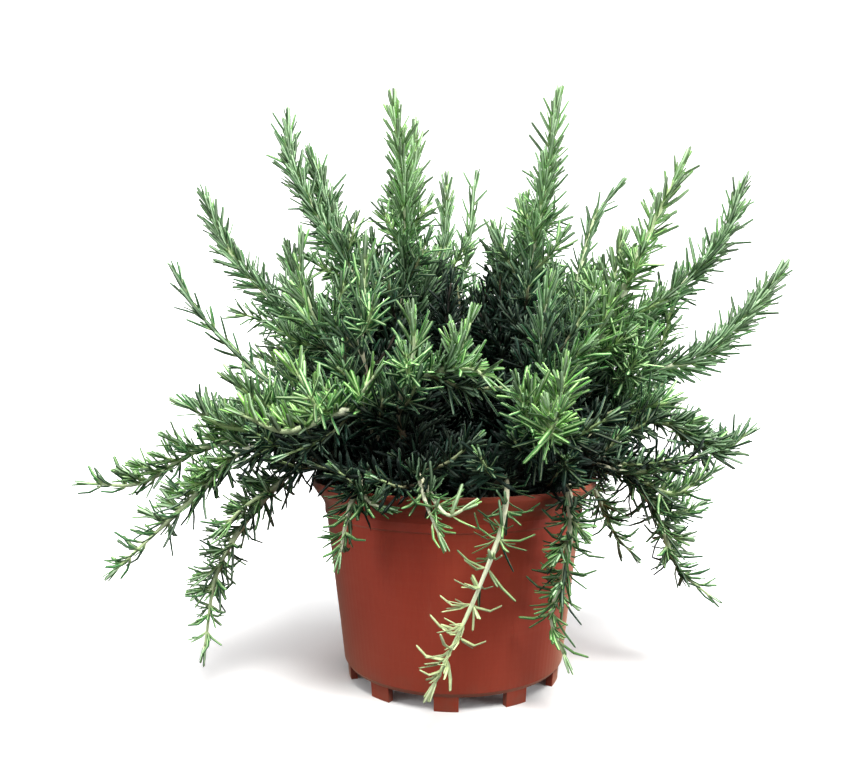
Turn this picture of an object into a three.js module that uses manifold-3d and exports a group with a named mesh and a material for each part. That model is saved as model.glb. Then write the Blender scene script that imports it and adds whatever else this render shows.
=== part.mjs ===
// A potted rosemary plant: a plastic nursery pot, its compost, and leafy stems that stand in holes in
// the compost. Millimetres, +Z up. The origin is the middle of the pot's foot, on the ground.
import * as THREE from 'three';
import { mergeVertices } from 'three/addons/utils/BufferGeometryUtils.js';
import Module from 'manifold-3d';

const wasm = await Module();
wasm.setup();

// Driving dimensions of the pot
const potHeight = 130;
const rimRadius = 95; // outside of the lip
const collarRadius = 86; // under the flared lip
const footRadius = 70.5; // outside of the feet
const wall = 1.9;
const flareHeight = 16.5; // from the top edge down to the collar
const stepHeight = 21.5; // from the top edge down to the small step under the collar
const flareWidth = 5.6; // from the collar out to the bend below the lip
const flareRise = 8.2; // and up to it
const lipHeight = 2.8;
const lipWall = 2.2;
const stepWidth = 0.9;
const footHeight = 9;
const footDepth = 3.6; // from the outside of a foot to its inside
const footSpread = 0.7; // by which a foot widens upwards
const shoulderRise = 2.8; // from the feet up to the wall above them
const shoulderWidth = 2;
const floorTop = 12.6;
const floorWall = 2.1;
const footCount = 10;
const footAngle = 12.5; // degrees of the circle that one foot takes
const firstFoot = -95; // degrees from +X
const drainHoles = 8;
const drainHoleRadius = 5;
const drainCircle = 46;
const potSides = 36;

// Driving dimensions of the compost
const compostTop = 115;
const edgeSlope = 5; // width of the slope at its edge
const gap = 0.3; // between pieces that rest on each other

// Driving dimensions of the plant
const stemRadius = 2.8; // to the corners of its square section, where it stands in the compost
const sideRadius = 2.4;
const tipRadius = 2.1;
const stemStep = 36; // between the bends of a shoot, with two pairs of needles on each length
const holeRadius = 3.6;
const holeDepth = 14;
const holeSides = 6;
const needleLength = 19; // outside the stem
const needleWidth = 2;
const needleThickness = 1.3;
const needleRoot = 0.75; // its size at the root, as a share of its full size
const needleTip = 0.9;
const lengthSpread = 0.3; // from the shortest needle to the longest, as a share
const leanAtFoot = 56; // degrees between a needle and its shoot
const leanAtTop = 30;
const leanAtTip = 18; // of the needles that close the tip
const leastLean = 12;
const leanSpread = 8;
const twistSpread = 24;
// What a needle with no room tries: degrees turned round the shoot, and more degrees of lean
const tries = [[0, 0], [20, 0], [-20, 0], [40, 0], [-40, 0], [0, -16], [0, 16], [55, -14], [-55, -14]];
const stemBare = 42; // without needles, from the foot of a stem up
const sideBare = 11;
const shadeTop = 165; // height and radius of the plant's dark middle
const shadeRadius = 80;
const clearance = 0.35; // kept between the shoots of two plants

// Each stem: its place in the compost, the points it passes on its way to its tip, and its side
// shoots, which leave it after a share of its length and pass points of their own.
const branch = (after, ...way) => ({ after, way });
const stems = [
  { name: 'tall_left', root: [-28, 8],
    way: [[-44, 4, 200], [-70, -2, 270], [-90, 1, 303], [-110, 6, 342], [-113, 9, 371]],
    sides: [branch(0.62, [-87, 15, 318], [-99, 25, 351])] },
  { name: 'high_left', root: [-44, 20],
    way: [[-80, 14, 200], [-112, 14, 236], [-157, 25, 284], [-176, 30, 322]],
    sides: [branch(0.45, [-110, 22, 262], [-116, 26, 284])] },
  { name: 'mid_left', root: [-54, -4],
    way: [[-86, -6, 168], [-122, -9, 192], [-169, -12, 240], [-182, -14, 263]],
    sides: [branch(0.35, [-100, -22, 204], [-104, -28, 222])] },
  { name: 'bright_left', root: [-44, -36],
    way: [[-50, -60, 166], [-62, -76, 177], [-95, -98, 167], [-116, -104, 176]],
    sides: [branch(0.5, [-84, -84, 190], [-92, -88, 202]),
      branch(0.36, [-54, -84, 186], [-46, -92, 198])] },
  { name: 'low_left', root: [-56, -22],
    way: [[-76, -36, 154], [-100, -46, 164], [-136, -55, 166], [-160, -58, 178]],
    sides: [branch(0.5, [-118, -58, 182], [-130, -64, 192])] },
  { name: 'long_left', root: [-66, 8],
    way: [[-100, -10, 156], [-158, -31, 152], [-200, -34, 129], [-232, -32, 129]],
    sides: [branch(0.5, [-150, -18, 166], [-166, -14, 176])] },
  { name: 'drooping_left', root: [-68, -10],
    way: [[-98, -34, 153], [-132, -47, 150], [-162, -60, 120], [-200, -66, 84]],
    sides: [branch(0.55, [-156, -44, 128], [-172, -40, 124])] },
  { name: 'hanging_left', root: [-57, -40],
    way: [[-84, -46, 147], [-112, -42, 128], [-146, -44, 80], [-155, -46, 30]],
    sides: [branch(0.45, [-128, -54, 118], [-138, -62, 108])] },
  { name: 'front_left', root: [-20, -26],
    way: [[-58, -30, 178], [-78, -34, 219], [-95, -38, 252], [-96, -40, 280]],
    sides: [branch(0.5, [-84, -48, 224], [-96, -56, 238])] },
  { name: 'front_mid_left', root: [-22, -44],
    way: [[-46, -50, 170], [-57, -58, 214], [-55, -63, 244], [-54, -64, 270]],
    sides: [] },
  { name: 'tall_mid', root: [-6, 4],
    way: [[-36, -2, 210], [-33, -2, 262], [-33, -4, 324], [-40, -6, 376]],
    sides: [branch(0.55, [-29, 8, 312], [-26, 18, 366]), branch(0.42, [-20, 8, 256], [-14, 14, 278])] },
  { name: 'back_mid', root: [2, 40],
    way: [[-8, 56, 190], [-8, 62, 250], [-4, 68, 300], [-3, 71, 344]],
    sides: [branch(0.55, [10, 72, 280], [20, 87, 350])] },
  { name: 'tall_right', root: [22, 2],
    way: [[42, 0, 200], [51, 0, 262], [62, 4, 322], [71, 5, 384]],
    sides: [branch(0.45, [36, 14, 270], [30, 20, 297]), branch(0.52, [50, 12, 292], [50, 14, 314])] },
  { name: 'back_right', root: [30, 46],
    way: [[70, 56, 200], [97, 62, 272], [111, 72, 318], [131, 79, 344]],
    sides: [branch(0.5, [76, 74, 262], [72, 82, 284])] },
  { name: 'high_right', root: [44, -14],
    way: [[76, -12, 180], [98, -11, 222], [132, -14, 299], [150, -16, 336]],
    sides: [branch(0.35, [94, -22, 226], [100, -27, 247]), branch(0.5, [108, -4, 264], [114, 0, 289])] },
  { name: 'far_right', root: [50, 16],
    way: [[88, 12, 190], [136, 12, 238], [188, 20, 291], [205, 24, 330]],
    sides: [branch(0.3, [106, 22, 222], [110, 28, 244])] },
  { name: 'long_right', root: [66, 2],
    way: [[98, 0, 178], [136, 4, 201], [170, 11, 209], [214, 24, 247], [235, 31, 270]],
    sides: [branch(0.34, [118, -10, 206], [128, -16, 222])] },
  { name: 'front_mid', root: [-4, -56],
    way: [[-34, -78, 172], [-28, -88, 194], [-4, -102, 204], [6, -107, 226]],
    sides: [branch(0.55, [-24, -96, 214], [-26, -100, 228]),
      branch(0.72, [8, -107, 201], [13, -112, 197])] },
  { name: 'front_right', root: [32, -50],
    way: [[42, -84, 156], [46, -112, 165], [46, -134, 172], [45, -150, 178]],
    sides: [branch(0.55, [52, -112, 183], [54, -118, 198]),
      branch(0.5, [40, -108, 178], [37, -116, 190])] },
  { name: 'inner_right', root: [32, -26],
    way: [[52, -38, 180], [54, -41, 220], [57, -44, 252]],
    sides: [branch(0.5, [68, -52, 204], [78, -60, 216])] },
  { name: 'low_right', root: [69, -17],
    way: [[96, -8, 160], [140, -2, 166], [180, 3, 144], [200, 6, 156]],
    sides: [branch(0.4, [122, -20, 176], [136, -28, 180])] },
  { name: 'hanging_right', root: [62, -36],
    way: [[90, -34, 146], [124, -31, 118], [144, -26, 74], [164, -24, 56]],
    sides: [branch(0.28, [108, -46, 138], [126, -62, 142]),
      branch(0.4, [136, -40, 124], [156, -44, 136]),
      branch(0.52, [144, -20, 108], [160, -16, 112])] },
  { name: 'hanging_back_right', root: [58, 40],
    way: [[84, 46, 146], [108, 51, 110], [124, 58, 78], [138, 62, 62]],
    sides: [branch(0.4, [108, 38, 126], [120, 30, 132])] },
  { name: 'over_rim_right', root: [46, -56],
    way: [[60, -72, 146], [64, -84, 117], [60, -85, 84], [53, -85, 60], [60, -86, 40]],
    sides: [] },
  { name: 'over_rim_front', root: [16, -68],
    way: [[26, -96, 142], [24, -108, 122], [10, -112, 84], [-13, -116, 36]],
    sides: [] },
  { name: 'over_rim_left', root: [-40, -58],
    way: [[-52, -76, 142], [-61, -86, 122], [-66, -88, 98]],
    sides: [branch(0.55, [-50, -94, 128], [-42, -100, 126])] },
  { name: 'over_rim_small', root: [-16, -70],
    way: [[-22, -96, 144], [-18, -108, 130], [-11, -112, 114]],
    sides: [branch(0.62, [-6, -114, 124], [2, -118, 128])] },
  { name: 'back_tall_left', root: [-20, 42],
    way: [[-44, 62, 190], [-68, 82, 240], [-84, 96, 290]],
    sides: [branch(0.5, [-48, 90, 228], [-40, 102, 248])] },
  { name: 'back_low_left', root: [-42, 46],
    way: [[-82, 72, 172], [-124, 96, 196], [-156, 106, 212]],
    sides: [branch(0.5, [-98, 100, 206], [-104, 112, 224])] },
  { name: 'back_tall', root: [8, 62],
    way: [[16, 88, 180], [24, 112, 232], [22, 132, 276]],
    sides: [branch(0.55, [42, 112, 224], [54, 122, 240])] },
  { name: 'back_hanging', root: [-12, 70],
    way: [[-20, 98, 143], [-26, 126, 130], [-32, 146, 94], [-30, 152, 62]],
    sides: [] },
  { name: 'back_hanging_right', root: [32, 64],
    way: [[42, 90, 144], [52, 112, 132], [66, 124, 104]],
    sides: [] },
  { name: 'back_wide_right', root: [48, 54],
    way: [[78, 84, 164], [104, 112, 192], [118, 126, 222]],
    sides: [branch(0.5, [108, 96, 176], [126, 102, 184])] },
  { name: 'back_hanging_left', root: [-40, 62],
    way: [[-54, 84, 143], [-70, 100, 124], [-82, 106, 88]],
    sides: [] },
  { name: 'back_long_right', root: [70, 24],
    way: [[104, 38, 160], [146, 62, 178], [182, 86, 206]],
    sides: [branch(0.5, [140, 72, 160], [154, 86, 156])] },
  { name: 'back_long_left', root: [-64, 30],
    way: [[-100, 42, 156], [-150, 58, 160], [-192, 68, 176]],
    sides: [branch(0.5, [-136, 72, 176], [-150, 84, 184])] },
];

const plastic = new THREE.MeshStandardMaterial({ color: 0x9c4230, roughness: 0.45, metalness: 0 });
const earth = new THREE.MeshStandardMaterial({ color: 0x2a1e16, roughness: 0.95, metalness: 0 });
const leafy = new THREE.MeshStandardMaterial({ color: 0x47703f, roughness: 0.6, metalness: 0 });

// Solids and meshes
function solid(geometry) {
  geometry.deleteAttribute('normal');
  geometry.deleteAttribute('uv');
  const merged = mergeVertices(geometry, 1e-4);
  const corners = merged.index.array;
  const whole = [];
  for (let i = 0; i < corners.length; i += 3) {
    const [a, b, c] = [corners[i], corners[i + 1], corners[i + 2]];
    if (a !== b && b !== c && c !== a) whole.push(a, b, c); // a fan at the axis has no area
  }
  const mesh = new wasm.Mesh({
    numProp: 3,
    vertProperties: new Float32Array(merged.attributes.position.array),
    triVerts: new Uint32Array(whole),
  });
  return new wasm.Manifold(mesh);
}

function named(name, body, material) {
  const cut = body.getMesh();
  const geometry = new THREE.BufferGeometry();
  geometry.setAttribute('position', new THREE.BufferAttribute(cut.vertProperties, 3));
  geometry.setIndex(new THREE.BufferAttribute(cut.triVerts, 1));
  geometry.computeVertexNormals();
  const mesh = new THREE.Mesh(geometry, material);
  mesh.name = name;
  return mesh;
}

function turned(profile, sides) {
  const points = profile.map(([radius, height]) => new THREE.Vector2(radius, height));
  return new THREE.LatheGeometry(points, sides).rotateX(Math.PI / 2);
}

function uprightRod(radius, x, y, bottom, top, sides) {
  const rod = new THREE.CylinderGeometry(radius, radius, top - bottom, sides).rotateX(Math.PI / 2);
  return rod.translate(x, y, (bottom + top) / 2);
}

// The pot's outside and inside, from the feet up: [radius, height]
const bodyTop = potHeight - stepHeight;
const flareFoot = potHeight - flareHeight;
const footTop = footRadius + footSpread;
const outside = [
  [footRadius, 0],
  [footTop, footHeight],
  [footTop + shoulderWidth, footHeight + shoulderRise],
  [collarRadius - stepWidth, bodyTop - stepWidth],
  [collarRadius, bodyTop],
  [collarRadius + 0.2, flareFoot],
  [collarRadius + flareWidth, flareFoot + flareRise],
  [rimRadius, potHeight - lipHeight],
  [rimRadius, potHeight],
];
const inside = [
  [rimRadius - lipWall, potHeight],
  [collarRadius + flareWidth - wall, flareFoot + flareRise + 0.6],
  [collarRadius - wall, flareFoot - 0.6],
  [collarRadius - stepWidth - wall, bodyTop - 1.2],
  [footTop + 0.4, floorTop + 1.8],
  [footTop - 1.1, floorTop],
];

function makePot() {
  const skirt = footRadius - footDepth;
  const underside = floorTop - floorWall;
  const profile = [[0, underside], [skirt, underside], [skirt, 0], ...outside, ...inside, [0, floorTop]];
  let pot = solid(turned(profile, potSides));
  const pitch = 360 / footCount;
  for (let i = 0; i < footCount; i += 1) {
    const from = THREE.MathUtils.degToRad(firstFoot + i * pitch + footAngle / 2);
    const to = THREE.MathUtils.degToRad(firstFoot + (i + 1) * pitch - footAngle / 2);
    const sector = new THREE.Shape();
    sector.absarc(0, 0, footRadius + 12, from, to, false);
    sector.absarc(0, 0, skirt - 6, to, from, true);
    const notch = new THREE.ExtrudeGeometry(sector, {
      depth: footHeight + 1, steps: 1, curveSegments: 3, bevelEnabled: false,
    });
    pot = pot.subtract(solid(notch.translate(0, 0, -1)));
  }
  for (let i = 0; i < drainHoles; i += 1) {
    const turn = (i / drainHoles) * 2 * Math.PI;
    const [x, y] = [drainCircle * Math.cos(turn), drainCircle * Math.sin(turn)];
    pot = pot.subtract(solid(uprightRod(drainHoleRadius, x, y, footHeight, floorTop + 1, 8)));
  }
  return named('pot', pot, plastic);
}

function makeCompost() {
  const inner = inside.slice(2).reverse().map(([radius, height]) => [radius - gap, height]);
  inner[0][1] += gap;
  const edge = collarRadius - wall - gap;
  const profile = [[0, floorTop + gap], ...inner, [edge - edgeSlope, compostTop], [0, compostTop]];
  let compost = solid(turned(profile, potSides));
  for (const { root: [x, y] } of stems) {
    const hole = uprightRod(holeRadius, x, y, compostTop - holeDepth, compostTop + 1, holeSides);
    compost = compost.subtract(solid(hole));
  }
  return named('compost', compost, earth);
}

// A repeatable draw between 0 and 1
function drawFrom(seed) {
  let state = seed;
  return () => {
    state = (state + 0x6d2b79f5) | 0;
    let t = Math.imul(state ^ (state >>> 15), 1 | state);
    t = (t + Math.imul(t ^ (t >>> 7), 61 | t)) ^ t;
    return ((t ^ (t >>> 14)) >>> 0) / 4294967296;
  };
}

// A shoot as rings joined by straight lengths: one ring at each point that it passes, and more on the
// curve between them. Each ring's frame is the last one's, turned no more than the bend asks.
function shootAlong(points, thick, bare) {
  const curve = new THREE.CatmullRomCurve3(points, false, 'centripetal');
  const rings = [points[0]];
  for (let k = 1; k < points.length; k += 1) {
    const parts = Math.max(1, Math.round(points[k].distanceTo(points[k - 1]) / stemStep));
    for (let j = 1; j <= parts; j += 1) {
      rings.push(curve.getPoint((k - 1 + j / parts) / (points.length - 1)));
    }
  }
  const steps = rings.length - 1;
  const reach = [0];
  const [normals, binormals] = [[], []];
  const normal = new THREE.Vector3(0.8, 0.6, 0);
  rings.forEach((ring, i) => {
    if (i > 0) reach.push(reach[i - 1] + ring.distanceTo(rings[i - 1]));
    const along = rings[Math.min(i + 1, steps)].clone().sub(rings[Math.max(i - 1, 0)]).normalize();
    normal.addScaledVector(along, -normal.dot(along)).normalize();
    normals.push(normal.clone());
    binormals.push(along.clone().cross(normal));
  });
  return { rings, steps, reach, length: reach[steps], normals, binormals, thick, bare };
}

function stemShoot({ root: [x, y], way }) {
  const foot = [compostTop - holeDepth + gap, compostTop + 3].map((height) => [x, y, height]);
  const points = [...foot, ...way].map((place) => new THREE.Vector3(...place));
  return shootAlong(points, stemRadius, stemBare);
}

function sideShoot(parent, { after, way }) {
  const points = [placeOn(parent, after), ...way.map((place) => new THREE.Vector3(...place))];
  return shootAlong(points, sideRadius, sideBare);
}

function placeOn({ rings, reach, length }, share) {
  const ring = reach.findIndex((far) => far >= share * length) - 1;
  const part = (share * length - reach[ring]) / (reach[ring + 1] - reach[ring]);
  return rings[ring].clone().lerp(rings[ring + 1], part);
}

function radiusOf({ thick }, share) {
  return thick + (tipRadius - thick) * share;
}

function around(normal, binormal, turn) {
  const angle = THREE.MathUtils.degToRad(turn);
  return normal.clone().multiplyScalar(Math.cos(angle)).addScaledVector(binormal, Math.sin(angle));
}

// The room that is taken: each length of stem and each needle is a capsule, with the shoot it is on
const taken = [];

function capsuleGap(a, b) {
  const [p, q] = [a.to.clone().sub(a.from), b.to.clone().sub(b.from)];
  const r = a.from.clone().sub(b.from);
  const [pp, qq, pq, pr, qr] = [p.dot(p), q.dot(q), p.dot(q), p.dot(r), q.dot(r)];
  const spread = pp * qq - pq * pq;
  let s = spread > 1e-9 ? THREE.MathUtils.clamp((pq * qr - pr * qq) / spread, 0, 1) : 0;
  const t = THREE.MathUtils.clamp((pq * s + qr) / qq, 0, 1);
  s = THREE.MathUtils.clamp((pq * t - pr) / pp, 0, 1);
  const near = r.addScaledVector(p, s).addScaledVector(q, -t);
  return near.length() - a.radius - b.radius;
}

function radiusAt(outline, height) {
  const rising = outline[0][1] < outline[outline.length - 1][1] ? outline : [...outline].reverse();
  const next = rising.findIndex(([, level]) => level >= height);
  if (next <= 0) return rising[next === 0 ? 0 : rising.length - 1][0];
  const [[r0, z0], [r1, z1]] = [rising[next - 1], rising[next]];
  return z1 > z0 ? r0 + ((r1 - r0) * (height - z0)) / (z1 - z0) : r1;
}

function meetsPot(point, room) {
  const radius = Math.hypot(point.x, point.y);
  if (point.z < room) return true;
  if (point.z > potHeight + room) return false;
  const [inner, outer] = [radiusAt(inside, point.z) - room, radiusAt(outside, point.z) + room];
  if (radius < inner) return point.z < compostTop + room;
  return radius < outer;
}

function isFree(capsule) {
  for (let share = 0; share <= 1; share += 0.125) {
    if (meetsPot(capsule.from.clone().lerp(capsule.to, share), capsule.radius + 1)) return false;
  }
  return taken.every((other) => {
    const beside = other.whorl === undefined || other.whorl === capsule.whorl;
    return (beside && other.shoot === capsule.shoot) || capsuleGap(capsule, other) > clearance;
  });
}

function takeShoot(shoot) {
  for (let i = 0; i < shoot.steps; i += 1) {
    const radius = radiusOf(shoot, shoot.reach[i] / shoot.length);
    taken.push({ shoot, from: shoot.rings[i], to: shoot.rings[i + 1], radius });
  }
}

// A shoot is a four-sided bar along its rings. A needle is raised from a side of the bar: the side
// opens in a small triangle, flat edge down, and the triangle is carried out to the needle's blunt tip.
function shootSolid(shoot, draw) {
  const { rings, reach, normals, binormals, steps } = shoot;
  const corners = [];
  const faces = [];
  const corner = (place) => corners.push(place) - 1;
  for (let i = 0; i <= steps; i += 1) {
    for (const turn of [0, 90, 180, 270]) {
      const out = around(normals[i], binormals[i], turn);
      corner(rings[i].clone().addScaledVector(out, radiusOf(shoot, reach[i] / shoot.length)));
    }
  }
  const last = 4 * steps;
  faces.push([0, 2, 1], [0, 3, 2], [last, last + 1, last + 2], [last, last + 2, last + 3]);
  for (let i = 0; i < steps; i += 1) {
    for (const side of [0, 1, 2, 3]) {
      const next = (side + 1) % 4;
      const quad = [4 * i + side, 4 * i + next, 4 * (i + 1) + next, 4 * (i + 1) + side];
      const needle = needleOn(shoot, i, side, quad.map((c) => corners[c]), draw);
      if (!needle) {
        faces.push([quad[0], quad[1], quad[2]], [quad[0], quad[2], quad[3]]);
        continue;
      }
      const [a, b, c, tipA, tipB, tipC] = needle.map(corner);
      const [p, q, r, t] = quad;
      faces.push([p, q, b], [p, b, a], [q, r, b], [r, c, b], [r, t, c], [t, a, c], [t, p, a]);
      const walls = [[a, b, tipB, tipA], [b, c, tipC, tipB], [c, a, tipA, tipC]];
      for (const [from, to, tipTo, tipFrom] of walls) {
        faces.push([from, to, tipTo], [from, tipTo, tipFrom]);
      }
      faces.push([tipA, tipB, tipC]);
    }
  }
  const geometry = new THREE.BufferGeometry().setFromPoints(corners);
  geometry.setIndex(faces.flat());
  return solid(geometry);
}

// Opposite pairs stand on the four sides by turns, and lean closer to the shoot towards its tip. A
// needle with no room tries the directions beside its own, and is left out where none is free.
function needleOn(shoot, step, side, [p, q, r, t], draw) {
  const size = p.distanceTo(t);
  const pair = side % 2;
  const atTip = step === shoot.steps - 1;
  const up = atTip ? 0.55 + 0.25 * pair : 0.25 + 0.5 * pair + 0.12 * (draw() - 0.5);
  const reach = shoot.reach[step] + up * size;
  const share = reach / shoot.length;
  const middleLean = atTip ? leanAtTip : leanAtFoot + (leanAtTop - leanAtFoot) * share;
  const lean = middleLean + leanSpread * (draw() - 0.5);
  const twist = twistSpread * (draw() - 0.5);
  const long = needleLength * (1 + lengthSpread * (draw() - 0.5));
  if (reach < shoot.bare || (inShade(shoot, share) && pair === step % 2)) return null;
  const on = (across, along) => p.clone().lerp(q, across).lerp(t.clone().lerp(r, across), along);
  const halfWidth = (needleWidth * needleRoot) / 2 / p.distanceTo(q);
  const halfDepth = needleThickness / size;
  const from = on(0.5, up);
  const along = shoot.rings[step + 1].clone().sub(shoot.rings[step]).normalize();
  const flat = q.clone().sub(p).normalize();
  const outward = flat.clone().cross(along).normalize();
  for (const [turn, more] of tries) {
    const out = outward.clone().applyAxisAngle(along, THREE.MathUtils.degToRad(twist + turn));
    const angle = THREE.MathUtils.degToRad(Math.max(leastLean, lean + more));
    const direction = along.clone().multiplyScalar(Math.cos(angle)).addScaledVector(out, Math.sin(angle));
    const to = from.clone().addScaledVector(direction, long);
    const whorl = 2 * step + pair;
    const capsule = { shoot, whorl, from: from.clone().lerp(to, 0.12), to, radius: needleWidth / 2 };
    if (!isFree(capsule)) continue;
    taken.push(capsule);
    const across = flat.clone().addScaledVector(direction, -flat.dot(direction)).normalize();
    const ridge = direction.clone().cross(across);
    const half = across.multiplyScalar((needleWidth * needleTip) / 2);
    const low = ridge.clone().multiplyScalar((-needleThickness * needleTip) / 3);
    return [
      on(0.5 - halfWidth, up - halfDepth), on(0.5 + halfWidth, up - halfDepth), on(0.5, up + halfDepth),
      to.clone().sub(half).add(low), to.clone().add(half).add(low), to.clone().addScaledVector(low, -2),
    ];
  }
  return null;
}

// In the dark middle of the plant every other pair is missing
function inShade(shoot, share) {
  const place = placeOn(shoot, share);
  return place.z < shadeTop && Math.hypot(place.x, place.y) < shadeRadius;
}

const plants = stems.map((stem, i) => {
  const main = stemShoot(stem);
  const shoots = [main, ...stem.sides.map((side) => sideShoot(main, side))];
  shoots.forEach(takeShoot);
  return { name: stem.name, shoots, draw: drawFrom(101 + i) };
});

function makePlant({ name, shoots, draw }) {
  const body = shoots.map((shoot) => shootSolid(shoot, draw)).reduce((whole, piece) => whole.add(piece));
  return named(`spray_${name}`, body, leafy);
}

const rosemary = new THREE.Group();
rosemary.add(makePot(), makeCompost());
for (const plant of plants) rosemary.add(makePlant(plant));

export default rosemary;
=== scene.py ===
import math
from collections import namedtuple

import bmesh
import bpy
import numpy as np
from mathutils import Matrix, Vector


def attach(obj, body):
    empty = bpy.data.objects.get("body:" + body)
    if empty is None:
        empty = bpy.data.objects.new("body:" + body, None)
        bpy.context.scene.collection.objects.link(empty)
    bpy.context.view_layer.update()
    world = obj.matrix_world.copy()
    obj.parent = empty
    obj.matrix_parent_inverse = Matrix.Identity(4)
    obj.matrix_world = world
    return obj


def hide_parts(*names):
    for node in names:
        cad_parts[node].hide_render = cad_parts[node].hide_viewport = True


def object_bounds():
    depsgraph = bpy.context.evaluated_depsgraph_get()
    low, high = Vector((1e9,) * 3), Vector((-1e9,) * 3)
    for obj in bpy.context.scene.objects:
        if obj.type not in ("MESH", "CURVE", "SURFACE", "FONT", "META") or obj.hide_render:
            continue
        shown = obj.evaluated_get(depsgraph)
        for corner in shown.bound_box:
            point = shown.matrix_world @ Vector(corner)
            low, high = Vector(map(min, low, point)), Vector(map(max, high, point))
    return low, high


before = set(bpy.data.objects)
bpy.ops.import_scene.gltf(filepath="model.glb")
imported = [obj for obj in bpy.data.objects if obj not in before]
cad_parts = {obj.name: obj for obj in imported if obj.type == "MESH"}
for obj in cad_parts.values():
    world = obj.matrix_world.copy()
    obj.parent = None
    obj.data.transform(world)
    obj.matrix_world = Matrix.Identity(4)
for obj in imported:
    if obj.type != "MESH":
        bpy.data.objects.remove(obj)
cad_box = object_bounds()
bpy.ops.object.select_all(action="DESELECT")

# The photograph's frame and the camera that took it
IMAGE_WIDTH = 862
FOCAL_PIXELS = 750
SENSOR_WIDTH = 36.0
CAMERA_PLACE = (-0.015, -0.508, 0.198)
CAMERA_PITCH = -0.7

# The pot, as profiles of radius and height from the underside round to the inside of the floor
POT_SIDES = 120
POT_HEIGHT = 0.130
RIM_RADIUS = 0.095
FOOT_HEIGHT = 0.009
FOOT_OUTSIDE = 0.0712
FOOT_INSIDE = 0.0669
FOOT_COUNT = 10
FOOT_HALF_ANGLE = 6.0
FIRST_FOOT = -95.0
FLOOR_UNDER = 0.0105
FLOOR_TOP = 0.0126
FLOOR_BOSS = 0.006
POT_PROFILE = [
    (FLOOR_BOSS, FLOOR_UNDER), (0.030, FLOOR_UNDER), (0.052, FLOOR_UNDER), (FOOT_INSIDE, FLOOR_UNDER),
    (FOOT_INSIDE, FOOT_HEIGHT), (FOOT_OUTSIDE, FOOT_HEIGHT), (0.0732, 0.0118), (0.0760, 0.036),
    (0.0791, 0.060), (0.0821, 0.084), (0.0850, 0.1074), (0.0860, 0.1085), (0.0862, 0.1135),
    (0.0872, 0.1160), (0.0893, 0.1193), (0.0915, 0.1217), (0.0944, 0.1261), (0.0949, 0.1272),
    (0.0950, 0.1292), (0.0945, 0.1299), (0.0936, 0.1300), (0.0929, 0.1296), (0.0924, 0.1284),
    (0.0898, 0.1225), (0.0877, 0.1195), (0.0853, 0.1160), (0.0842, 0.1129), (0.0834, 0.1073),
    (0.0770, 0.060), (0.0718, 0.0150), (0.0702, FLOOR_TOP), (0.052, FLOOR_TOP), (0.030, FLOOR_TOP),
    (FLOOR_BOSS, FLOOR_TOP),
]
DRAIN_HOLES = 8
DRAIN_RADIUS = 0.005
DRAIN_CIRCLE = 0.046

# The compost
COMPOST_TOP = 0.115
COMPOST_SIDES = 96
COMPOST_PROFILE = [(0.0699, 0.0129), (0.0716, 0.0147), (0.0831, 0.1070), (0.0838, 0.1128)]
COMPOST_STEP = 0.0032
COMPOST_EDGE_RISE = 0.0018
CHIP_COUNT = 520
CHIP_RISE = 0.0002

# Shoots and needles
NEEDLE_LENGTH = 0.0205
NEEDLE_WIDTH = 0.0023
NEEDLE_DEPTH = 0.8
STEM_RADIUS = 0.0021
SIDE_RADIUS = 0.0014
# A bough counts as thin, as a twig does
BOUGH_RADIUS = SIDE_RADIUS - 0.0001
TWIG_RADIUS = 0.0010
TIP_RADIUS = 0.0007
BARK_TAPER = 2.2
FOOT_DEPTH = 0.0137
FOOT_RISE = 0.003
ROUTE_STEP = 0.0015
CLEAR_OF_POT = 0.0008
NEEDLE_ROOM = CLEAR_OF_POT + 0.5 * NEEDLE_WIDTH
INSIDE_BOX = 0.0006
SEED = 4100
# Lengths without needles at the foot of each kind of shoot
BARE_STEM = 0.016
BARE_SIDE = 0.006
BARE_TWIG = 0.003
BARE_SPUR = 0.002
# How old the foot of each kind of shoot is, and how far from a tip its needles stop ageing
STEM_AGE = 1.0
SIDE_AGE = 0.55
BOUGH_AGE = 0.8
SPUR_AGE = 0.45
AGEING = 0.24
# Needle pairs end this far from a tip, and old needles hang only beyond the second length
TIP_GAP = 0.002
HANG_BEYOND = 0.035
# How unevenly the pairs turn, and how far down a needle points that counts as underneath
PAIR_SPREAD = 0.12
UNDERSIDE = -0.2
# A tuft's most needles, the width of hanging and youngest needles, and the bud's bend and age
MOST_IN_TUFT = 9
NARROW = 0.85
BUD_BEND = 0.10
BUD_AGE = 0.04
# How often needles that meet the pot or the box are turned and shortened
CLEARING_ROUNDS = 6
# Each new twig stands this angle further round its stem
TWIG_TURN = math.radians(137.5)
FIRST_TWIG = 0.018
TWIG_GAPS = (0.008, 0.013)
LAST_TWIG_SHARE = 0.78
TWIG_LENGTHS = (0.028, 0.050)
# Least and most degrees by which these lean out from their shoot
TWIG_LEANS = (38, 60)
SPUR_LEANS = (35, 58)
HANG_LEANS = (50, 80)
BUD_LEANS = (6, 11)
# Least and most degrees by which spurs and tufts turn aside, and how far old needles are pulled down
SPUR_TURNS = (-65, 65)
TUFT_TURNS = (-60, 60)
HANG_LIFTS = (-1.1, -0.5)

# The stage
FLOOR_RADIUS = 2.2
WALL_CURVE = 1.4
WALL_HEIGHT = 4.0
WALL_STEPS = 13
STAGE_GLOW = 0.60
GLOW_FROM = (0.080, 0.28)
LIGHT_TARGET = (0, 0, 0.18)
SKY_LEVELS = ((0.0, 0.06), (0.47, 0.14), (0.56, 0.45), (1.0, 1.1))
WORLD_STRENGTH = 0.75

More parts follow.
